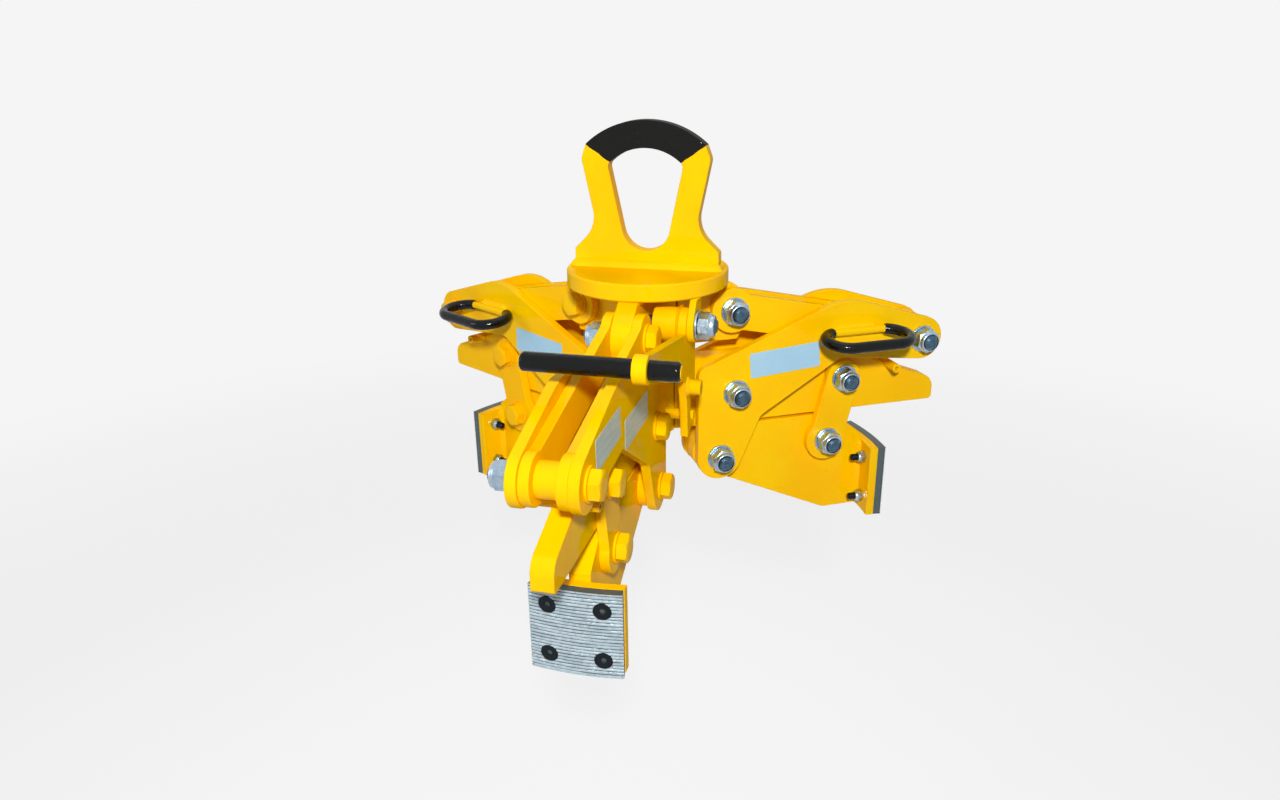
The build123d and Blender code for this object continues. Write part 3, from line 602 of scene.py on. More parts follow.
BEAD_SECTION = np.linspace(0, np.pi / 2, 9)
BEAD_SWELL = 0.35
BEAD_RIPPLE = 0.05
BEAD_PITCH = 3.0 * MM
BEAD_STEP = BEAD_PITCH / 5
BEAD_LAG = 0.9
BEAD_ROOT = 0.5 * MM


def bead(path, out, up, leg, closed=False):
    """A fillet weld in the corner of two faces. Its section bulges between a leg along each face, and
    ripples bowed like laid coins cross it once per pitch. An open bead dies away at both ends."""
    out, up = np.broadcast_to(out, path.shape), np.broadcast_to(up, path.shape)
    steps = np.linalg.norm(np.diff(path, axis=0), axis=1)
    along = np.concatenate([[0.0], np.cumsum(steps)])
    flat = 1 / (np.cos(BEAD_SECTION) + np.sin(BEAD_SECTION))
    bulge = flat + BEAD_SWELL * (1 - flat)
    phase = along[:, None] / BEAD_PITCH + BEAD_LAG * np.sin(2 * BEAD_SECTION)
    ripple = 1 + BEAD_RIPPLE * (np.abs(np.sin(np.pi * phase)) - 0.5)
    legs = np.broadcast_to(leg, len(path))
    if not closed:
        legs = legs * np.clip(np.minimum(along, along[-1] - along) / legs, 0, 1) ** 0.5
    reach = (legs[:, None] * bulge * ripple)[..., None]
    way = out[:, None] * np.cos(BEAD_SECTION)[:, None] + up[:, None] * np.sin(BEAD_SECTION)[:, None]
    root = path - np.minimum(legs, BEAD_ROOT)[:, None] * (out + up)
    points = np.concatenate([path[:, None] + reach * way, root[:, None]], axis=1)
    return points.reshape(-1, 3), quads(len(path), len(BEAD_SECTION) + 1, closed, True)


def straight_bead(start, end, out, up, leg):
    """A bead along a straight corner."""
    count = int(np.linalg.norm(np.subtract(end, start)) / BEAD_STEP)
    return bead(np.linspace(start, end, count), out, up, leg)


def ring_bead(centre, axis, radius, leg):
    """A bead round a bar that stands on a plate: out is away from the bar, up is along its axis."""
    count = int(2 * math.pi * radius / BEAD_STEP)
    turn = np.linspace(0, 2 * np.pi, count, endpoint=False)[:, None]
    first = np.cross(axis, UP)
    out = np.cos(turn) * first + np.sin(turn) * np.cross(axis, first)
    return bead(centre + radius * out, out, axis, leg, closed=True)


CORNER_STEPS = 7


def rounded_plate(length, height, rounding, thickness):
    """A thin plate flat in X and Y: a rectangle with round corners, its edge eased, between flat faces.

    The outline is four quarter rounds; it is carried up in levels and drawn in to the middle at the ends."""
    quarter, step = np.divmod(np.arange(4 * CORNER_STEPS), CORNER_STEPS)
    turn = (quarter + step / (CORNER_STEPS - 1)) * (np.pi / 2)
    corner = (quarter + 0.5) * (np.pi / 2)
    centre = np.sign(np.stack([np.cos(corner), np.sin(corner)], -1))
    way = np.stack([np.cos(turn), np.sin(turn)], -1)
    outline = centre * (length / 2 - rounding, height / 2 - rounding) + rounding * way
    soft = LABEL_SOFT * thickness
    inset = outline - soft * way
    middle = 0 * outline
    levels = [(middle, 0), (outline, 0), (outline, thickness - soft), (inset, thickness)]
    levels.append((middle, thickness))
    points = np.concatenate([np.column_stack([flat, np.full(len(flat), z)]) for flat, z in levels])
    return points, quads(len(levels), len(outline), False, True)


SHARP_ANGLE = math.radians(38)
MERGE_DISTANCE = 1e-6
FLAT_ANGLE = math.radians(0.4)


def show_piece(name, points, faces, material, body, replaced, edge, copied=False):
    """Put a mesh into the scene, its doubles merged, riding on a body in place of its nodes.

    A copy's triangles are merged into flat faces, and a new surface has its faces turned outwards."""
    mesh = bpy.data.meshes.new(name)
    mesh.from_pydata(points.tolist(), [], faces.tolist())
    shape = bmesh.new()
    shape.from_mesh(mesh)
    bmesh.ops.remove_doubles(shape, verts=shape.verts, dist=MERGE_DISTANCE)
    if copied:
        bmesh.ops.dissolve_limit(shape, angle_limit=FLAT_ANGLE, verts=shape.verts, edges=shape.edges)
    else:
        bmesh.ops.recalc_face_normals(shape, faces=shape.faces)
    shape.to_mesh(mesh)
    shape.free()
    mesh.polygons.foreach_set("use_smooth", np.ones(len(mesh.polygons), bool))
    mesh.materials.append(finish(material))
    piece = bpy.data.objects.new(name, mesh)
    bpy.context.scene.collection.objects.link(piece)
    if edge:
        rounding = piece.modifiers.new("Eased edges", "BEVEL")
        rounding.width = edge
        rounding.segments = 2
        rounding.limit_method = "ANGLE"
        rounding.angle_limit = SHARP_ANGLE
        rounding.use_clamp_overlap = False
        rounding.harden_normals = True
    else:
        mesh.set_sharp_from_angle(angle=SHARP_ANGLE)
    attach(piece, body)
    if replaced:
        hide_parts(*replaced)


def new_piece(name, parts, material, body, replaced=(), edge=0.0):
    """Join parts into one piece with closed poles."""
    points = np.concatenate([part[0] for part in parts])
    starts = np.cumsum([0] + [len(part[0]) for part in parts[:-1]])
    faces = np.concatenate([part[1] + start for part, start in zip(parts, starts)])
    show_piece(name, points, faces, material, body, replaced, edge)


def eased_copy(node, edge, material=traffic_yellow_enamel):
    """A copy of a plate or bar with rounded and painted edges."""
    source = frame["nodes"][node]
    points = np.empty(len(source.data.vertices) * 3)
    source.data.vertices.foreach_get("co", points)
    corners = np.empty(len(source.data.polygons) * 3, np.int32)
    source.data.polygons.foreach_get("vertices", corners)
    points, faces = points.reshape(-1, 3), corners.reshape(-1, 3)
    show_piece(node + "_finished", points, faces, material, source["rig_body"], [node], edge, copied=True)


# Pieces

class GRIPPER_OT_eye(bpy.types.Operator):
    """Finish the lifting eye with its black crown, and the disc under it"""

    bl_idname = "gripper.eye"
    bl_label = "Lifting Eye"

    def execute(self, context):
        eased_copy("lifting_eye", EYE_EDGE_SHARE * sizes().plate_edge, crown_black_over_yellow)
        eased_copy("suspension_disc", sizes().small_edge)
        return {"FINISHED"}


class GRIPPER_OT_plates(bpy.types.Operator):
    """Finish the lugs, hub, levers, links and shoes"""

    bl_idname = "gripper.plates"
    bl_label = "Arm Plates"

    def execute(self, context):
        edge = sizes().plate_edge
        small = sizes().small_edge
        for node in ("centre_boss", "top_lugs", "latch_ear", "hub_core"):
            eased_copy(node, edge)
        eased_copy("latch_catch", small)
        for arm in ARMS:
            for plate in ("tongue", "lever_plates", "top_links", "hanger_links", "shoe_arm", "pad_plate"):
                eased_copy(f"{arm}_{plate}", edge)
            for bush in ("lever_bosses", "tip_spacer"):
                eased_copy(f"{arm}_{bush}", small)
        self.stop_pins()
        return {"FINISHED"}

    def stop_pins(self):
        """The three hollow pins on which the levers land."""
        pin = carried(hollow_pin(STOP_PIN_RADIUS, STOP_PIN_BORE, 2 * OUTER_FACE), STOP_PIN_PLACE, ACROSS)
        parts = [turned_to_arm(pin, arm) for arm in ARMS]
        new_piece("hollow_stop_pins", parts, traffic_yellow_enamel, "hub", ["stop_pins"])


def nut_set(seat, along, nut_spin, end_spin=0.0):
    """A washer with its lock nut, and the bolt end in the nut, stacked on a seat."""
    top = seat + WASHER_THICKNESS * along
    rim = washer(WASHER_RADIUS, BOLT_RADIUS, WASHER_THICKNESS)
    nut = lock_nut(HEAD_FLATS, NUT_HEX_HEIGHT, NUT_COLLAR_HEIGHT, NUT_COLLAR_RADIUS, BOLT_RADIUS)
    end_height = NUT_HEX_HEIGHT + NUT_COLLAR_HEIGHT + BOLT_STUB
    end = threaded_end(BOLT_RADIUS, THREAD_PITCH, NUT_HEX_HEIGHT - THREAD_PITCH, end_height)
    nuts = [carried(rim, seat, along), carried(nut, top, along, nut_spin)]
    return nuts, carried(end, top, along, end_spin)


def arm_bolts(arm, places, faces):
    """Parts of the pivot bolts at places on an arm: painted heads, zinc nuts and dark bolt ends."""
    heads, nuts, ends = [], [], []
    rim = washer(WASHER_RADIUS, BOLT_RADIUS, WASHER_THICKNESS)
    head = bolt_head(HEAD_FLATS, HEAD_HEIGHT)
    for count, (place, face) in enumerate(zip(places, faces)):
        spin = SPIN_STEP * (count + 1)
        seat = (face + WASHER_LIFT) * ACROSS
        heads.append(carried(rim, place + seat, ACROSS))
        heads.append(carried(head, place + seat + WASHER_THICKNESS * ACROSS, ACROSS, spin))
        nut, end = nut_set(place - seat, -ACROSS, -spin, spin)
        nuts += nut
        ends.append(end)
    return [[turned_to_arm(part, arm) for part in kind] for kind in (heads, nuts, ends)]


def add_bolts(prefix, sets, body, replaced):
    """Three pieces for the bolts of one body: heads, lock nuts and bolt ends."""
    edge = sizes().hex_edge
    heads, nuts, ends = ([part for one in sets for part in one[kind]] for kind in range(3))
    new_piece(prefix + "_heads", heads, traffic_yellow_enamel, body, replaced, edge)
    new_piece(prefix + "_lock_nuts", nuts, zinc_plated_steel, body, replaced, edge)
    new_piece(prefix + "_ends", ends, oiled_steel, body, replaced)


class GRIPPER_OT_pivot_bolts(bpy.types.Operator):
    """Fit the pivot bolts: painted heads on one side, zinc lock nuts and dark bolt ends on the other"""

    bl_idname = "gripper.pivot_bolts"
    bl_label = "Pivot Bolts"

    def execute(self, context):
        lug_sets = [arm_bolts(arm, [LUG_PIVOT], [MIDDLE_FACE]) for arm in ARMS]
        add_bolts("top_pivot", lug_sets, "suspension", ["top_pivot_bolts", "top_pivot_nuts"])
        hub_sets = [arm_bolts(arm, [HUB_PIVOT, HANGER_PIVOT], [OUTER_FACE, MIDDLE_FACE]) for arm in ARMS]
        add_bolts("hub_pivot", hub_sets, "hub", ["hub_bolts", "hub_nuts"])
        for arm in ARMS:
            lever_set = arm_bolts(arm, [ELBOW_PIVOT, TIP_PIVOT], [OUTER_FACE, OUTER_FACE])
            add_bolts(f"{arm}_lever_bolt", [lever_set], f"{arm}_lever", [f"{arm}_lever_bolts"])
            shoe_set = arm_bolts(arm, [SHOE_PIVOT], [MIDDLE_FACE])
            add_bolts(f"{arm}_shoe_bolt", [shoe_set], f"{arm}_shoe", [f"{arm}_shoe_bolt"])
        return {"FINISHED"}


# Lining grid: fine square patches round the screws, wider steps (at the middle, at the edges) between them
PATCH_HALF = 16.0 * MM
PATCH_STEPS = 64
STEPS_ACROSS = (14, 4)
STEPS_UP = (60, 11)
BACK_STEPS = 12
RECESS_RADIUS = 10.5 * MM
RECESS_DEPTH = 2.2 * MM
ROUND_MARGIN = 1.0 * MM
RIM_MARGIN = 0.1 * MM
PLAIN_END = 0.6 * MM
# Depth across one ridge and its groove: a flat crest, then a V with a flat floor
RIDGE_PLACES = (0, 0.06, 0.62, 0.74, 0.9, 1.0)
RIDGE_DEPTHS = (0.3, 0.0, 0.05, 1.0, 1.0, 0.3)
RIDGE_DEEPEST = 1.2
# How far a groove wanders, how deep its nicks are, and their (length, shift from groove to groove)
WANDER = 0.15 * MM
WANDER_WAVE = (17.0 * MM, 1.7)
NICK_SHARE = 0.05
NICK_WAVES = ((2.9 * MM, 4.1), (8.3 * MM, 1.0))


def lining_steps(half, counts):
    """Places across the lining from -half to half, fine within a patch each side of the middle."""
    middle_steps, edge_steps = counts
    near, far = PAD_SCREW_HALF_SPACING - PATCH_HALF, PAD_SCREW_HALF_SPACING + PATCH_HALF
    marks = [-half, -far, -near, near, far, half]
    counts = [edge_steps, PATCH_STEPS, middle_steps, PATCH_STEPS, edge_steps]
    runs = [np.linspace(a, b, n, endpoint=False) for a, b, n in zip(marks, marks[1:], counts)]
    return np.concatenate([*runs, [half]])


def ridges(across, up):
    """Depth below the face: flat crests and V grooves once per pitch, each wandering in its own way."""
    high = PAD_HALF_HEIGHT - PLAIN_END
    pitch = sizes().ridge_pitch
    number = np.floor((up + high) / pitch)
    waves = [np.sin(across / length + shift * number) for length, shift in (WANDER_WAVE, *NICK_WAVES)]
    share = ((up + WANDER * waves[0] + high) / pitch) % 1.0
    groove = np.interp(share, RIDGE_PLACES, RIDGE_DEPTHS) + NICK_SHARE * waves[1] * waves[2]
    return np.where(np.abs(up) < high, sizes().ridge_depth * np.clip(groove, 0, RIDGE_DEEPEST), 0)


def lining_surface():
    """The lining of a pad on an arm along +X: a closed section carried up its height, drawn in to its
    middle at head and foot.

    Round each screw the square grid is drawn onto circles, so that the recess has a round rim, and the
    face is then cut back by the ridges, or to the recess floor inside the rim."""
    half_arc = PAD_HALF_ANGLE * PAD_RADIUS
    across, up = np.meshgrid(lining_steps(half_arc, STEPS_ACROSS), lining_steps(PAD_HALF_HEIGHT, STEPS_UP))
    sunk = np.zeros(across.shape, bool)
    for screw_across, screw_up in PAD_SCREW_PLACES:
        side, rise = across - screw_across, up - screw_up
        square = np.maximum(np.abs(side), np.abs(rise))
        round_off = np.maximum(np.hypot(side, rise), 1e-9)
        share = np.clip((PATCH_HALF - square) / (PATCH_HALF - RECESS_RADIUS - ROUND_MARGIN), 0, 1)
        scale = 1 + share * (square / round_off - 1)
        across, up = screw_across + side * scale, screw_up + rise * scale
        sunk |= square < RECESS_RADIUS - RIM_MARGIN
    radius = PAD_RADIUS - np.where(sunk, RECESS_DEPTH, ridges(across, up))
    angle = across / PAD_RADIUS
    face = around(radius, angle, PAD_MIDDLE + up)
    back_angle = np.linspace(PAD_HALF_ANGLE, -PAD_HALF_ANGLE, BACK_STEPS)
    back = around(PAD_BACK, back_angle, 0.0) + face[:, :1] * UP
    section = np.concatenate([face, back], axis=1)
    middle = np.broadcast_to(((PAD_RADIUS + PAD_BACK) / 2, 0.0, PAD_MIDDLE), section[:1].shape)
    section = np.concatenate([middle - PAD_HALF_HEIGHT * UP, section, middle + PAD_HALF_HEIGHT * UP])
    return section.reshape(-1, 3), quads(*section.shape[:2], False, True)


class GRIPPER_OT_linings(bpy.types.Operator):
    """Make the ridged linings of the three pads"""

    bl_idname = "gripper.linings"
    bl_label = "Pad Linings"

    def execute(self, context):
        surface = lining_surface()
        for arm in ARMS:
            parts = [turned_to_arm(surface, arm)]
            node = f"{arm}_pad_lining"
            new_piece(node + "_ridged", parts, galvanised_gripping_steel, f"{arm}_shoe", [node])
        return {"FINISHED"}


# A pad screw's softened rim (inwards, down) and socket (outwards as a share, down), and the socket's point
SCREW_RIM_SOFT = (0.3 * MM, 0.5 * MM)
SOCKET_SOFT = (1.12, 0.4 * MM)
SOCKET_POINT = 1.0 * MM


def socket_screw():
    """A countersunk head seen from outside: a flat ring, a hexagon socket and the cone under the head."""
    socket = hexagon(SCREW_SOCKET_FLATS)
    shank = SCREW_HEAD_RADIUS - SCREW_RADIUS
    rows = [
        (0, shank),
        (SCREW_RADIUS, shank),
        (SCREW_HEAD_RADIUS, SCREW_RIM_SOFT[1]),
        (SCREW_HEAD_RADIUS - SCREW_RIM_SOFT[0], 0),
        (socket * SOCKET_SOFT[0], 0),
        (socket, SOCKET_SOFT[1]),
        (socket, SCREW_SOCKET_DEPTH),
        (0, SCREW_SOCKET_DEPTH + SOCKET_POINT),
    ]
    return turned([(radius, -SCREW_SINK - depth) for radius, depth in rows])


class GRIPPER_OT_pad_screws(bpy.types.Operator):
    """Fit the countersunk screws of the pads and the lock nuts behind them"""

    bl_idname = "gripper.pad_screws"
    bl_label = "Pad Screws"

    def execute(self, context):
        collar = (SMALL_NUT_COLLAR, SMALL_NUT_COLLAR_RADIUS)
        small_nut = lock_nut(SMALL_NUT_FLATS, SMALL_NUT_HEX, *collar, SCREW_RADIUS)
        nut_height = SMALL_NUT_HEX + SMALL_NUT_COLLAR
        end = threaded_end(SCREW_RADIUS, SMALL_PITCH, 0.5 * nut_height, nut_height + SCREW_STUB)
        screws, nuts, ends = [], [], []
        for count, (across, rise) in enumerate(PAD_SCREW_PLACES):
            angle = math.asin(across / PAD_RADIUS)
            outwards = np.array([math.cos(angle), math.sin(angle), 0.0])
            height = (PAD_MIDDLE + rise) * UP
            spin = SPIN_STEP * count
            screws.append(carried(socket_screw(), PAD_RADIUS * outwards + height, outwards, spin))
            seat = (PAD_PLATE_BACK - SEAT_GAP) * outwards + height
            nuts.append(carried(small_nut, seat, -outwards, spin))
            ends.append(carried(end, seat, -outwards, spin))
        groups = (
            ("heads", screws, blackened_steel),
            ("nuts", nuts, zinc_plated_steel),
            ("ends", ends, blackened_steel),
        )
        for arm in ARMS:
            for kind, parts, material in groups:
                parts = [turned_to_arm(part, arm) for part in parts]
                new_piece(f"{arm}_pad_screw_{kind}", parts, material, f"{arm}_shoe", [f"{arm}_pad_screws"])
        return {"FINISHED"}


HANDLE_BEND_STEPS = 40
HANDLE_RUN_STEPS = 30
HANDLE_WELD_RISE = 2.0 * MM
HOSE_LIP = 0.5 * MM
HOSE_LIP_SHARE = 0.02


def handle_path(side, bare_angle, closed):
    """The loop of a handle: two half rounds joined by straight runs. Its plane stands out from the lever
    plate and droops away from it."""
    turn = np.linspace(bare_angle - np.pi / 2, np.pi / 2, HANDLE_BEND_STEPS)
    near = np.stack([np.cos(turn), np.sin(turn)], -1) * HANDLE_END_RADIUS
    near += (HANDLE_HALF_STRAIGHT, HANDLE_END_RADIUS)
    far = near[::-1] * (-1, 1)
    loop = [near, np.linspace(near[-1], far[0], HANDLE_RUN_STEPS)[1:-1], far]
    if closed:
        loop.append(np.linspace(far[-1], near[0], HANDLE_RUN_STEPS)[1:-1])
    flat = np.concatenate(loop)
    place = HUB_PIVOT + (HANDLE_OUT, side * (OUTER_FACE + HANDLE_LIFT), HANDLE_UP)
    lean = (side * math.cos(HANDLE_DROOP), -math.sin(HANDLE_DROOP))
    return place + np.column_stack([flat[:, 0], np.outer(flat[:, 1], lean)])


def hose(path, up):
    """A hose along a flat path, closed on the bar at both ends with an eased lip."""
    first, last = path[:1], path[-1:]
    first_lip = first + HOSE_LIP_SHARE * (path[1:2] - first)
    last_lip = last + HOSE_LIP_SHARE * (path[-2:-1] - last)
    path = np.concatenate([first, first_lip, path[1:-1], last_lip, last])
    radii = np.full(len(path), HOSE_RADIUS)
    radii[[0, -1]] = 0
    radii[[1, -2]] = HOSE_RADIUS - HOSE_LIP
    return tube(path, radii, up)


class GRIPPER_OT_handles(bpy.types.Operator):
    """Make the carrying handles: a bent bar welded to the lever, in a black hose"""

    bl_idname = "gripper.handles"
    bl_label = "Carrying Handles"

    def execute(self, context):
        leg = 2 * sizes().small_weld
        for arm, side in HANDLE_SIDES.items():
            body = f"{arm}_lever"
            square = (0.0, side * math.sin(HANDLE_DROOP), math.cos(HANDLE_DROOP))
            parts = [tube(handle_path(side, 0.0, True), HANDLE_BAR_RADIUS, square, closed=True)]
            middle = HUB_PIVOT + (HANDLE_OUT, side * OUTER_FACE, HANDLE_UP)
            reach = HANDLE_HALF_STRAIGHT * OUTWARDS
            for rise in (UP, -UP):
                edge = middle + HANDLE_WELD_RISE * rise
                parts.append(straight_bead(edge - reach, edge + reach, rise, side * ACROSS, leg))
            parts = [turned_to_arm(part, arm) for part in parts]
            new_piece(f"{arm}_handle_bar", parts, traffic_yellow_enamel, body, [f"{arm}_handle_loop"])
            sleeve = turned_to_arm(hose(handle_path(side, HOSE_BARE_ANGLE, False), square), arm)
            new_piece(f"{arm}_handle_sleeve", [sleeve], pvc_hose, body, [f"{arm}_handle_hose"])
        return {"FINISHED"}


# Grips: steps, lip at the ring, and the round end's depth, first radius and steepness
GRIP_END_STEPS = 8
GRIP_BODY_STEPS = 24
GRIP_LIP = 0.4 * MM
GRIP_END_SHARE = 0.5
GRIP_END_START = 0.62
GRIP_END_POWER = 0.35


class GRIPPER_OT_latch(bpy.types.Operator):
    """Finish the latch: plate, sleeve, ring, rod, knob, its pivot nut and the two grips"""

    bl_idname = "gripper.latch"
    bl_label = "Latch"

    def execute(self, context):
        for node in ("latch_plate", "latch_sleeve", "latch_ring", "latch_grip_rod", "latch_knob"):
            eased_copy(node, sizes().small_edge)
        self.pivot_nut()
        self.grips()
        return {"FINISHED"}

    def pivot_nut(self):
        """The washer and lock nut on the latch's stud, and the stud with its threaded end."""
        pivot = np.array(JOINTS["latch_pivot"]["pos_m"])
        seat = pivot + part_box("latch_ear")[1].x * OUTWARDS
        nut, end = nut_set(seat, OUTWARDS, SPIN_STEP)
        edge = sizes().hex_edge
        new_piece("latch_lock_nut", nut, zinc_plated_steel, "suspension", ["latch_stud_nut"], edge)
        start = pivot * (0, 1, 1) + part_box("latch_stud")[0].x * OUTWARDS
        length = seat[0] + WASHER_THICKNESS - start[0]
        stud = turned([(0, 0), (BOLT_RADIUS, 0), (BOLT_RADIUS, length), (0, length)])
        parts = [end, carried(stud, start, OUTWARDS)]
        new_piece("latch_stud_end", parts, oiled_steel, "suspension", ["latch_stud"])

    def grips(self):
        """Two lengths of hose on the rod, butted against the ring and closed by a round end."""
        low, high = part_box("latch_grips")
        ring_low, ring_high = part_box("latch_ring")
        middle = box_middle("latch_grips") * (0, 1, 1)
        radius = (high.z - low.z) / 2
        dome = np.linspace(0, np.pi / 2, GRIP_END_STEPS)
        end_depth = GRIP_END_SHARE * radius
        end_x = end_depth * (1 - np.cos(dome))
        swell = GRIP_END_START + (1 - GRIP_END_START) * np.sin(dome)
        end_r = radius * swell * np.sin(dome) ** GRIP_END_POWER
        parts = []
        for butt, tip in ((ring_low.x, low.x), (ring_high.x, high.x)):
            way = 1 if butt > tip else -1
            body = np.linspace(tip + way * end_depth, butt, GRIP_BODY_STEPS)[1:-1]
            x = np.concatenate([tip + way * end_x, body, [butt - way * GRIP_LIP, butt, butt]])
            radii = np.concatenate([end_r, np.full(len(body), radius), [radius, radius - GRIP_LIP, 0]])
            parts.append(tube(middle + x[:, None] * OUTWARDS, radii))
        new_piece("latch_grip_sleeves", parts, pvc_hose, "latch", ["latch_grips"])


# Welds: how slim the eye's is at its ends and how many steps it takes round a corner, then where others run:
# along a lug (outwards), along the latch's ear (along Y), up the hub's core at a share of its reach, and
# short of the ends of tongues and pads
EYE_END_WELD_SHARE = 0.6
EYE_CORNER_STEPS = 19
LUG_WELD = (38.0 * MM, 97.0 * MM)
EAR_WELD = (-66.0 * MM, -34.0 * MM)
CORE_WELD_SHARE = 0.9
TONGUE_WELD_INSET = 2.0 * MM
SHOE_WELD_FOOT = 4.0 * MM
SHOE_WELD_HEAD = 1.0 * MM


def eye_weld():
    """The weld round the eye's foot: down both faces and round both ends, slimmer at the ends.

    Its outward direction is each side's own, softened round the corners by a sliding average."""
    corners = np.array([[1, -1], [1, 1], [-1, 1], [-1, -1], [1, -1]]) * (EYE_HIGH.x, EYE_HIGH.y)
    counts = [int(np.linalg.norm(b - a) / BEAD_STEP) for a, b in zip(corners, corners[1:])]
    runs = zip(corners, corners[1:], counts)
    flat = np.concatenate([np.linspace(a, b, count, endpoint=False) for a, b, count in runs])
    out = np.repeat([[1.0, 0.0], [0.0, 1.0], [-1.0, 0.0], [0.0, -1.0]], counts, axis=0)
    window = np.hanning(EYE_CORNER_STEPS)[1:-1]
    pad = len(window) // 2
    out = np.concatenate([out[-pad:], out, out[:pad]])
    out = np.stack([np.convolve(column, window, "valid") for column in out.T], -1)
    out /= np.linalg.norm(out, axis=1, keepdims=True)
    share = EYE_END_WELD_SHARE + (1 - EYE_END_WELD_SHARE) * np.abs(out[:, 1])
    path = np.column_stack([flat, np.full(len(flat), DISC_HIGH.z)])
    out = np.column_stack([out, np.zeros(len(out))])
    return bead(path, out, UP, sizes().eye_weld * share, closed=True)


class GRIPPER_OT_welds(bpy.types.Operator):
    """Lay the weld beads and paint them over"""

    bl_idname = "gripper.welds"
    bl_label = "Weld Beads"

    def execute(self, context):
        small = sizes().small_weld
        suspension, hub = [eye_weld()], []
        for arm in ARMS:
            shoe = []
            self.arm_welds(arm, suspension, hub, shoe)
            new_piece(f"{arm}_shoe_welds", shoe, traffic_yellow_enamel, f"{arm}_shoe")
        ear_low, ear_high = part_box("latch_ear")
        for x, out in ((ear_low.x, -OUTWARDS), (ear_high.x, OUTWARDS)):
            start, end = ((x, y, DISC_LOW.z) for y in EAR_WELD)
            suspension.append(straight_bead(start, end, out, -UP, small))
        new_piece("suspension_welds", suspension, traffic_yellow_enamel, "suspension")
        hub.append(self.ring_at("latch_catch", CENTRE_FACE, OUTWARDS, small))
        new_piece("hub_welds", hub, traffic_yellow_enamel, "hub")
        plate_low, plate_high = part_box("latch_plate")
        latch = [
            self.ring_at("latch_sleeve", plate_low.x, -OUTWARDS, small),
            self.ring_at("latch_knob", plate_high.x, OUTWARDS, small),
        ]
        new_piece("latch_welds", latch, traffic_yellow_enamel, "latch")
        return {"FINISHED"}

    def arm_welds(self, arm, suspension, hub, shoe):
        """Beads on both sides of an arm: lug under the disc, tongue on the core, shoe on the pad plate."""
        core = CORE_WELD_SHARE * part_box("hub_core")[1].x
        tongue_low, tongue_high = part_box("front_tongue")
        tongue = (tongue_low.z + TONGUE_WELD_INSET, tongue_high.z - TONGUE_WELD_INSET)
        pad = (LINING_LOW.z + SHOE_WELD_FOOT, LINING_HIGH.z - SHOE_WELD_HEAD)
        for across in (ACROSS, -ACROSS):
            runs = (
                (suspension, LUG_WELD, (DISC_LOW.z, DISC_LOW.z), across, -UP),
                (hub, (core, core), tongue, OUTWARDS, across),
                (shoe, (PAD_PLATE_BACK, PAD_PLATE_BACK), pad, across, -OUTWARDS),
            )
            for beads, reach, rise, out, up in runs:
                start, end = (CENTRE_FACE * across + x * OUTWARDS + z * UP for x, z in zip(reach, rise))
                beads.append(turned_to_arm(straight_bead(start, end, out, up, sizes().lug_weld), arm))

    def ring_at(self, node, x, axis, leg):
        """A ring of weld where a round bar or sleeve along X meets a plate."""
        low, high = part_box(node)
        centre = box_middle(node) * (0, 1, 1) + x * OUTWARDS
        return ring_bead(centre, axis, (high.z - low.z) / 2, leg)


# Labels: arm, side of the arm, middle (outwards, upwards), length against the usual one, tilt and material
LABEL_ROUNDING = 2.0 * MM
LABELS = (
    ("right", -1, (179.8 * MM, -279.8 * MM), 1.0, 4.6, satin_vinyl),
    ("left", 1, (181.9 * MM, -285.7 * MM), 1.0, 3.2, satin_vinyl),
    ("front", 1, (316.0 * MM, -250.7 * MM), 0.88, -2.0, brushed_foil),
    ("front", 1, (204.9 * MM, -273.5 * MM), 1.0, 0.0, brushed_foil),
)


class GRIPPER_OT_labels(bpy.types.Operator):
    """Stick the blank labels on the lever plates"""

    bl_idname = "gripper.labels"
    bl_label = "Blank Labels"

    def execute(self, context):
        size = sizes()
        for count, (arm, side, (out, up), share, tilt, material) in enumerate(LABELS):
            length = share * size.label_length
            plate = rounded_plate(length, size.label_height, LABEL_ROUNDING, size.label_thickness)
            spin = -side * math.radians(tilt)
            part = carried(plate, (out, side * OUTER_FACE, up), side * ACROSS, spin)
            new_piece(f"{arm}_label_{count + 1}", [turned_to_arm(part, arm)], material, f"{arm}_lever")
        return {"FINISHED"}


# Camera: place, view direction, roll and focal length at the photograph's viewing angle
CAMERA_PLACE = (286.9 * MM, -1146.7 * MM, 121.1 * MM)
CAMERA_FORWARD = (-0.2359, 0.904, -0.3566)
CAMERA_ROLL = math.radians(-0.73)
CAMERA_LENS = 26.43
CAMERA_SENSOR = 36.0
# Floor: its side, where its fade starts and ends, and its glow's share and brightness near the gripper
FLOOR_SIZE = 24.0
FLOOR_NEAR = 2.0
FLOOR_FAR = 4.2
FLOOR_GLOW = 0.77
FLOOR_BRIGHT = 1.0
# Softboxes: place, side and whether they give gloss. The one behind gives none, because its gloss would lie
# as a pale film on every level edge.
SOFTBOXES = {
    "key": ((0.46, -1.72, 0.71), 0.14, True),
    "fill": ((-1.7, -0.9, 0.35), 0.9, True),
    "top": ((0.15, 0.35, 1.5), 1.0, True),
    "back": ((-0.5, 1.9, 0.9), 0.9, False),
}


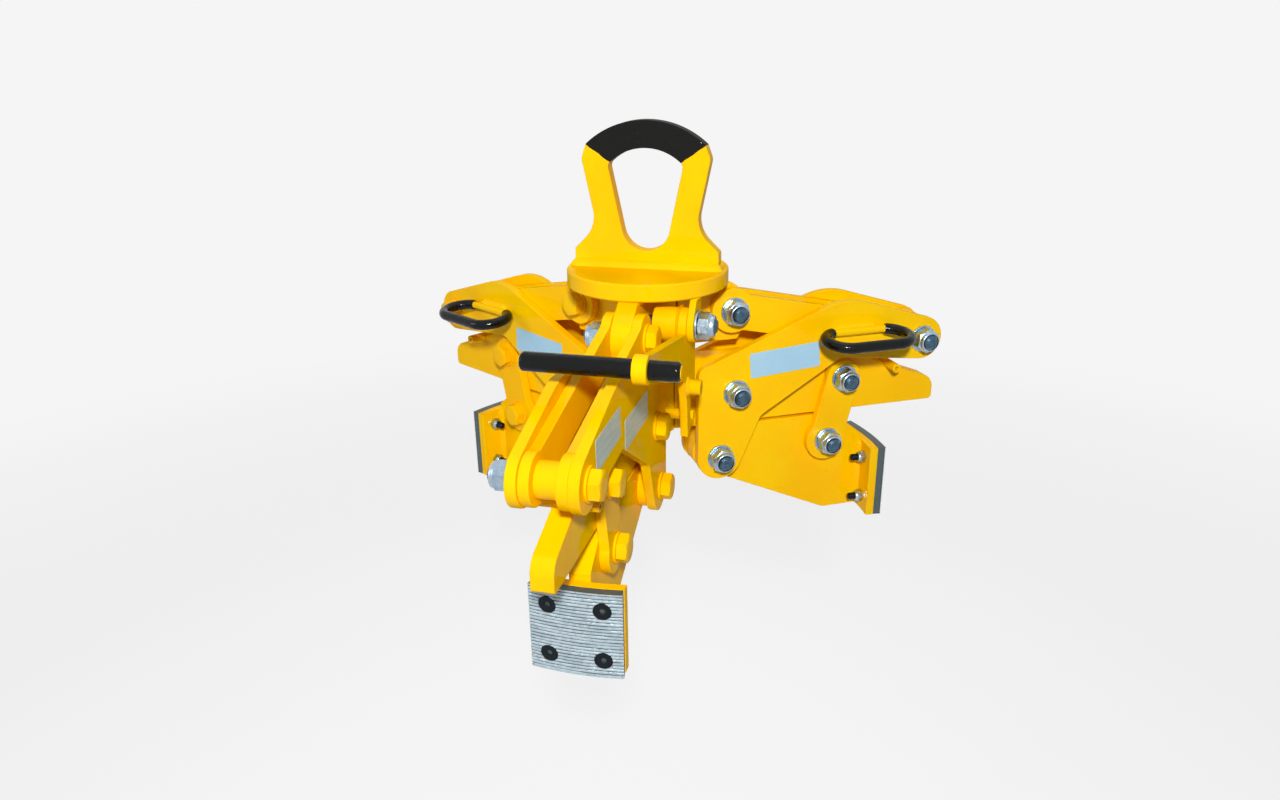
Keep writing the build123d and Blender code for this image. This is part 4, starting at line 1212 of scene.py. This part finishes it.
class GRIPPER_OT_stage(bpy.types.Operator):
    """Set up the floor, the surroundings, the lights and the camera"""

    bl_idname = "gripper.stage"
    bl_label = "Studio"

    def execute(self, context):
        scene = context.scene
        scene.view_settings.view_transform = "Standard"
        self.surroundings(scene)
        self.floor(scene)
        self.lights(scene)
        self.camera(scene)
        return {"FINISHED"}

    def seen_directly(self, tree):
        """1 for rays from the camera or from a mirror-like or clear surface, else 0."""
        seen = add_node(tree, "LightPath", "Is Camera Ray", {})
        rays = seen.node.outputs
        for ray in ("Is Glossy Ray", "Is Transmission Ray"):
            seen = add_node(tree, "Math", 0, {0: seen, 1: rays[ray]}, operation="MAXIMUM")
        return seen

    def surroundings(self, scene):
        """Pale surroundings, which look the backdrop's colour and light the gripper more gently."""
        world = bpy.data.worlds.new("pale_surroundings")
        world.use_nodes = True
        tree = world.node_tree
        tree.nodes.clear()
        stage = scene.gripper_stage
        strength = {0: self.seen_directly(tree), 3: stage.ambient, 4: 1.0}
        strength = add_node(tree, "MapRange", 0, strength)
        sky = add_node(tree, "Background", 0, {"Color": stage.backdrop, "Strength": strength})
        add_node(tree, "OutputWorld", 0, {"Surface": sky})
        scene.world = world

    def floor(self, scene):
        """A wide pale floor, which takes the shadow near the gripper and fades into the surroundings.

        Its white glow is a little stronger near the gripper, where the matt share would darken it."""
        stage = scene.gripper_stage
        half = FLOOR_SIZE / 2
        square = ((-half, -half), (half, -half), (half, half), (-half, half))
        mesh = bpy.data.meshes.new("floor")
        mesh.from_pydata([(x, y, -stage.floor_drop) for x, y in square], [], [(0, 1, 2, 3)])
        material, tree, place = new_material("matt_studio_floor")
        reach = from_axis(tree, place)
        fade = {0: reach, 1: FLOOR_NEAR, 2: FLOOR_FAR, 3: FLOOR_GLOW, 4: 1.0}
        fade = add_node(tree, "MapRange", 0, fade)
        bright = {0: reach, 1: FLOOR_NEAR, 2: FLOOR_FAR, 3: FLOOR_BRIGHT, 4: stage.backdrop[1]}
        bright = add_node(tree, "MapRange", 0, bright)
        share = add_node(tree, "Math", 0, {0: fade, 1: self.seen_directly(tree)}, operation="MULTIPLY")
        matt = add_node(tree, "BsdfDiffuse", 0, {"Color": stage.backdrop})
        glow = add_node(tree, "Emission", 0, {"Strength": bright})
        mix = add_node(tree, "MixShader", 0, {0: share, 1: matt, 2: glow})
        add_node(tree, "OutputMaterial", 0, {"Surface": mix})
        mesh.materials.append(material)
        floor = bpy.data.objects.new("floor", mesh)
        scene.collection.objects.link(floor)

    def lights(self, scene):
        """Softboxes aimed at the hub: key beside the camera, fill at the left, one above, one behind."""
        aim = Vector((0, 0, HUB_PIVOT[2]))
        for name, (place, side, gloss) in SOFTBOXES.items():
            lamp = bpy.data.lights.new(name + "_softbox", "AREA")
            lamp.shape = "SQUARE"
            lamp.size = side
            lamp.energy = getattr(scene.gripper_stage, name + "_power")
            box = bpy.data.objects.new(name + "_softbox", lamp)
            box.location = place
            box.visible_camera = False
            box.visible_glossy = gloss
            box.rotation_euler = (aim - Vector(place)).to_track_quat("-Z", "Y").to_euler()
            scene.collection.objects.link(box)

    def camera(self, scene):
        """The camera at the photograph's viewing angle, turned a little about its own axis."""
        lens = bpy.data.cameras.new("photo_camera")
        lens.lens = CAMERA_LENS
        lens.sensor_width = CAMERA_SENSOR
        lens.sensor_fit = "HORIZONTAL"
        forward = Vector(CAMERA_FORWARD).normalized()
        level = forward.cross(Vector((0, 0, 1))).normalized()
        rise = level.cross(forward)
        right = math.cos(CAMERA_ROLL) * level + math.sin(CAMERA_ROLL) * rise
        turn = Matrix((right, right.cross(forward), -forward)).transposed().to_4x4()
        camera = bpy.data.objects.new("photo_camera", lens)
        camera.matrix_world = Matrix.Translation(CAMERA_PLACE) @ turn
        scene.collection.objects.link(camera)
        scene.camera = camera


OPERATORS = (
    GRIPPER_OT_eye,
    GRIPPER_OT_plates,
    GRIPPER_OT_pivot_bolts,
    GRIPPER_OT_linings,
    GRIPPER_OT_pad_screws,
    GRIPPER_OT_handles,
    GRIPPER_OT_latch,
    GRIPPER_OT_welds,
    GRIPPER_OT_labels,
    GRIPPER_OT_stage,
)
GROUPS = {
    "gripper_finishes": GripperFinishes,
    "gripper_sizes": GripperSizes,
    "gripper_stage": GripperStage,
}


class GRIPPER_PT_panel(bpy.types.Panel):
    """Finishes, sizes and pieces of the gripper."""

    bl_label = "Lifting Gripper"
    bl_idname = "GRIPPER_PT_panel"
    bl_space_type = "VIEW_3D"
    bl_region_type = "UI"
    bl_category = "Gripper"

    def draw(self, context):
        for group_name in GROUPS:
            group = getattr(context.scene, group_name)
            box = self.layout.box()
            for name in group.__annotations__:
                box.prop(group, name)
        for operator in OPERATORS:
            self.layout.operator(operator.bl_idname)


CLASSES = (*GROUPS.values(), *OPERATORS, GRIPPER_PT_panel)


def register():
    for one in CLASSES:
        bpy.utils.register_class(one)
    for name, group in GROUPS.items():
        setattr(bpy.types.Scene, name, bpy.props.PointerProperty(type=group))


def unregister():
    for name in GROUPS:
        delattr(bpy.types.Scene, name)
    for one in reversed(CLASSES):
        bpy.utils.unregister_class(one)


def main():
    register()
    bpy.ops.gripper.eye()
    bpy.ops.gripper.plates()
    bpy.ops.gripper.pivot_bolts()
    bpy.ops.gripper.linings()
    bpy.ops.gripper.pad_screws()
    bpy.ops.gripper.handles()
    bpy.ops.gripper.latch()
    bpy.ops.gripper.welds()
    bpy.ops.gripper.labels()
    bpy.ops.gripper.stage()


if __name__ == "__main__":
    main()
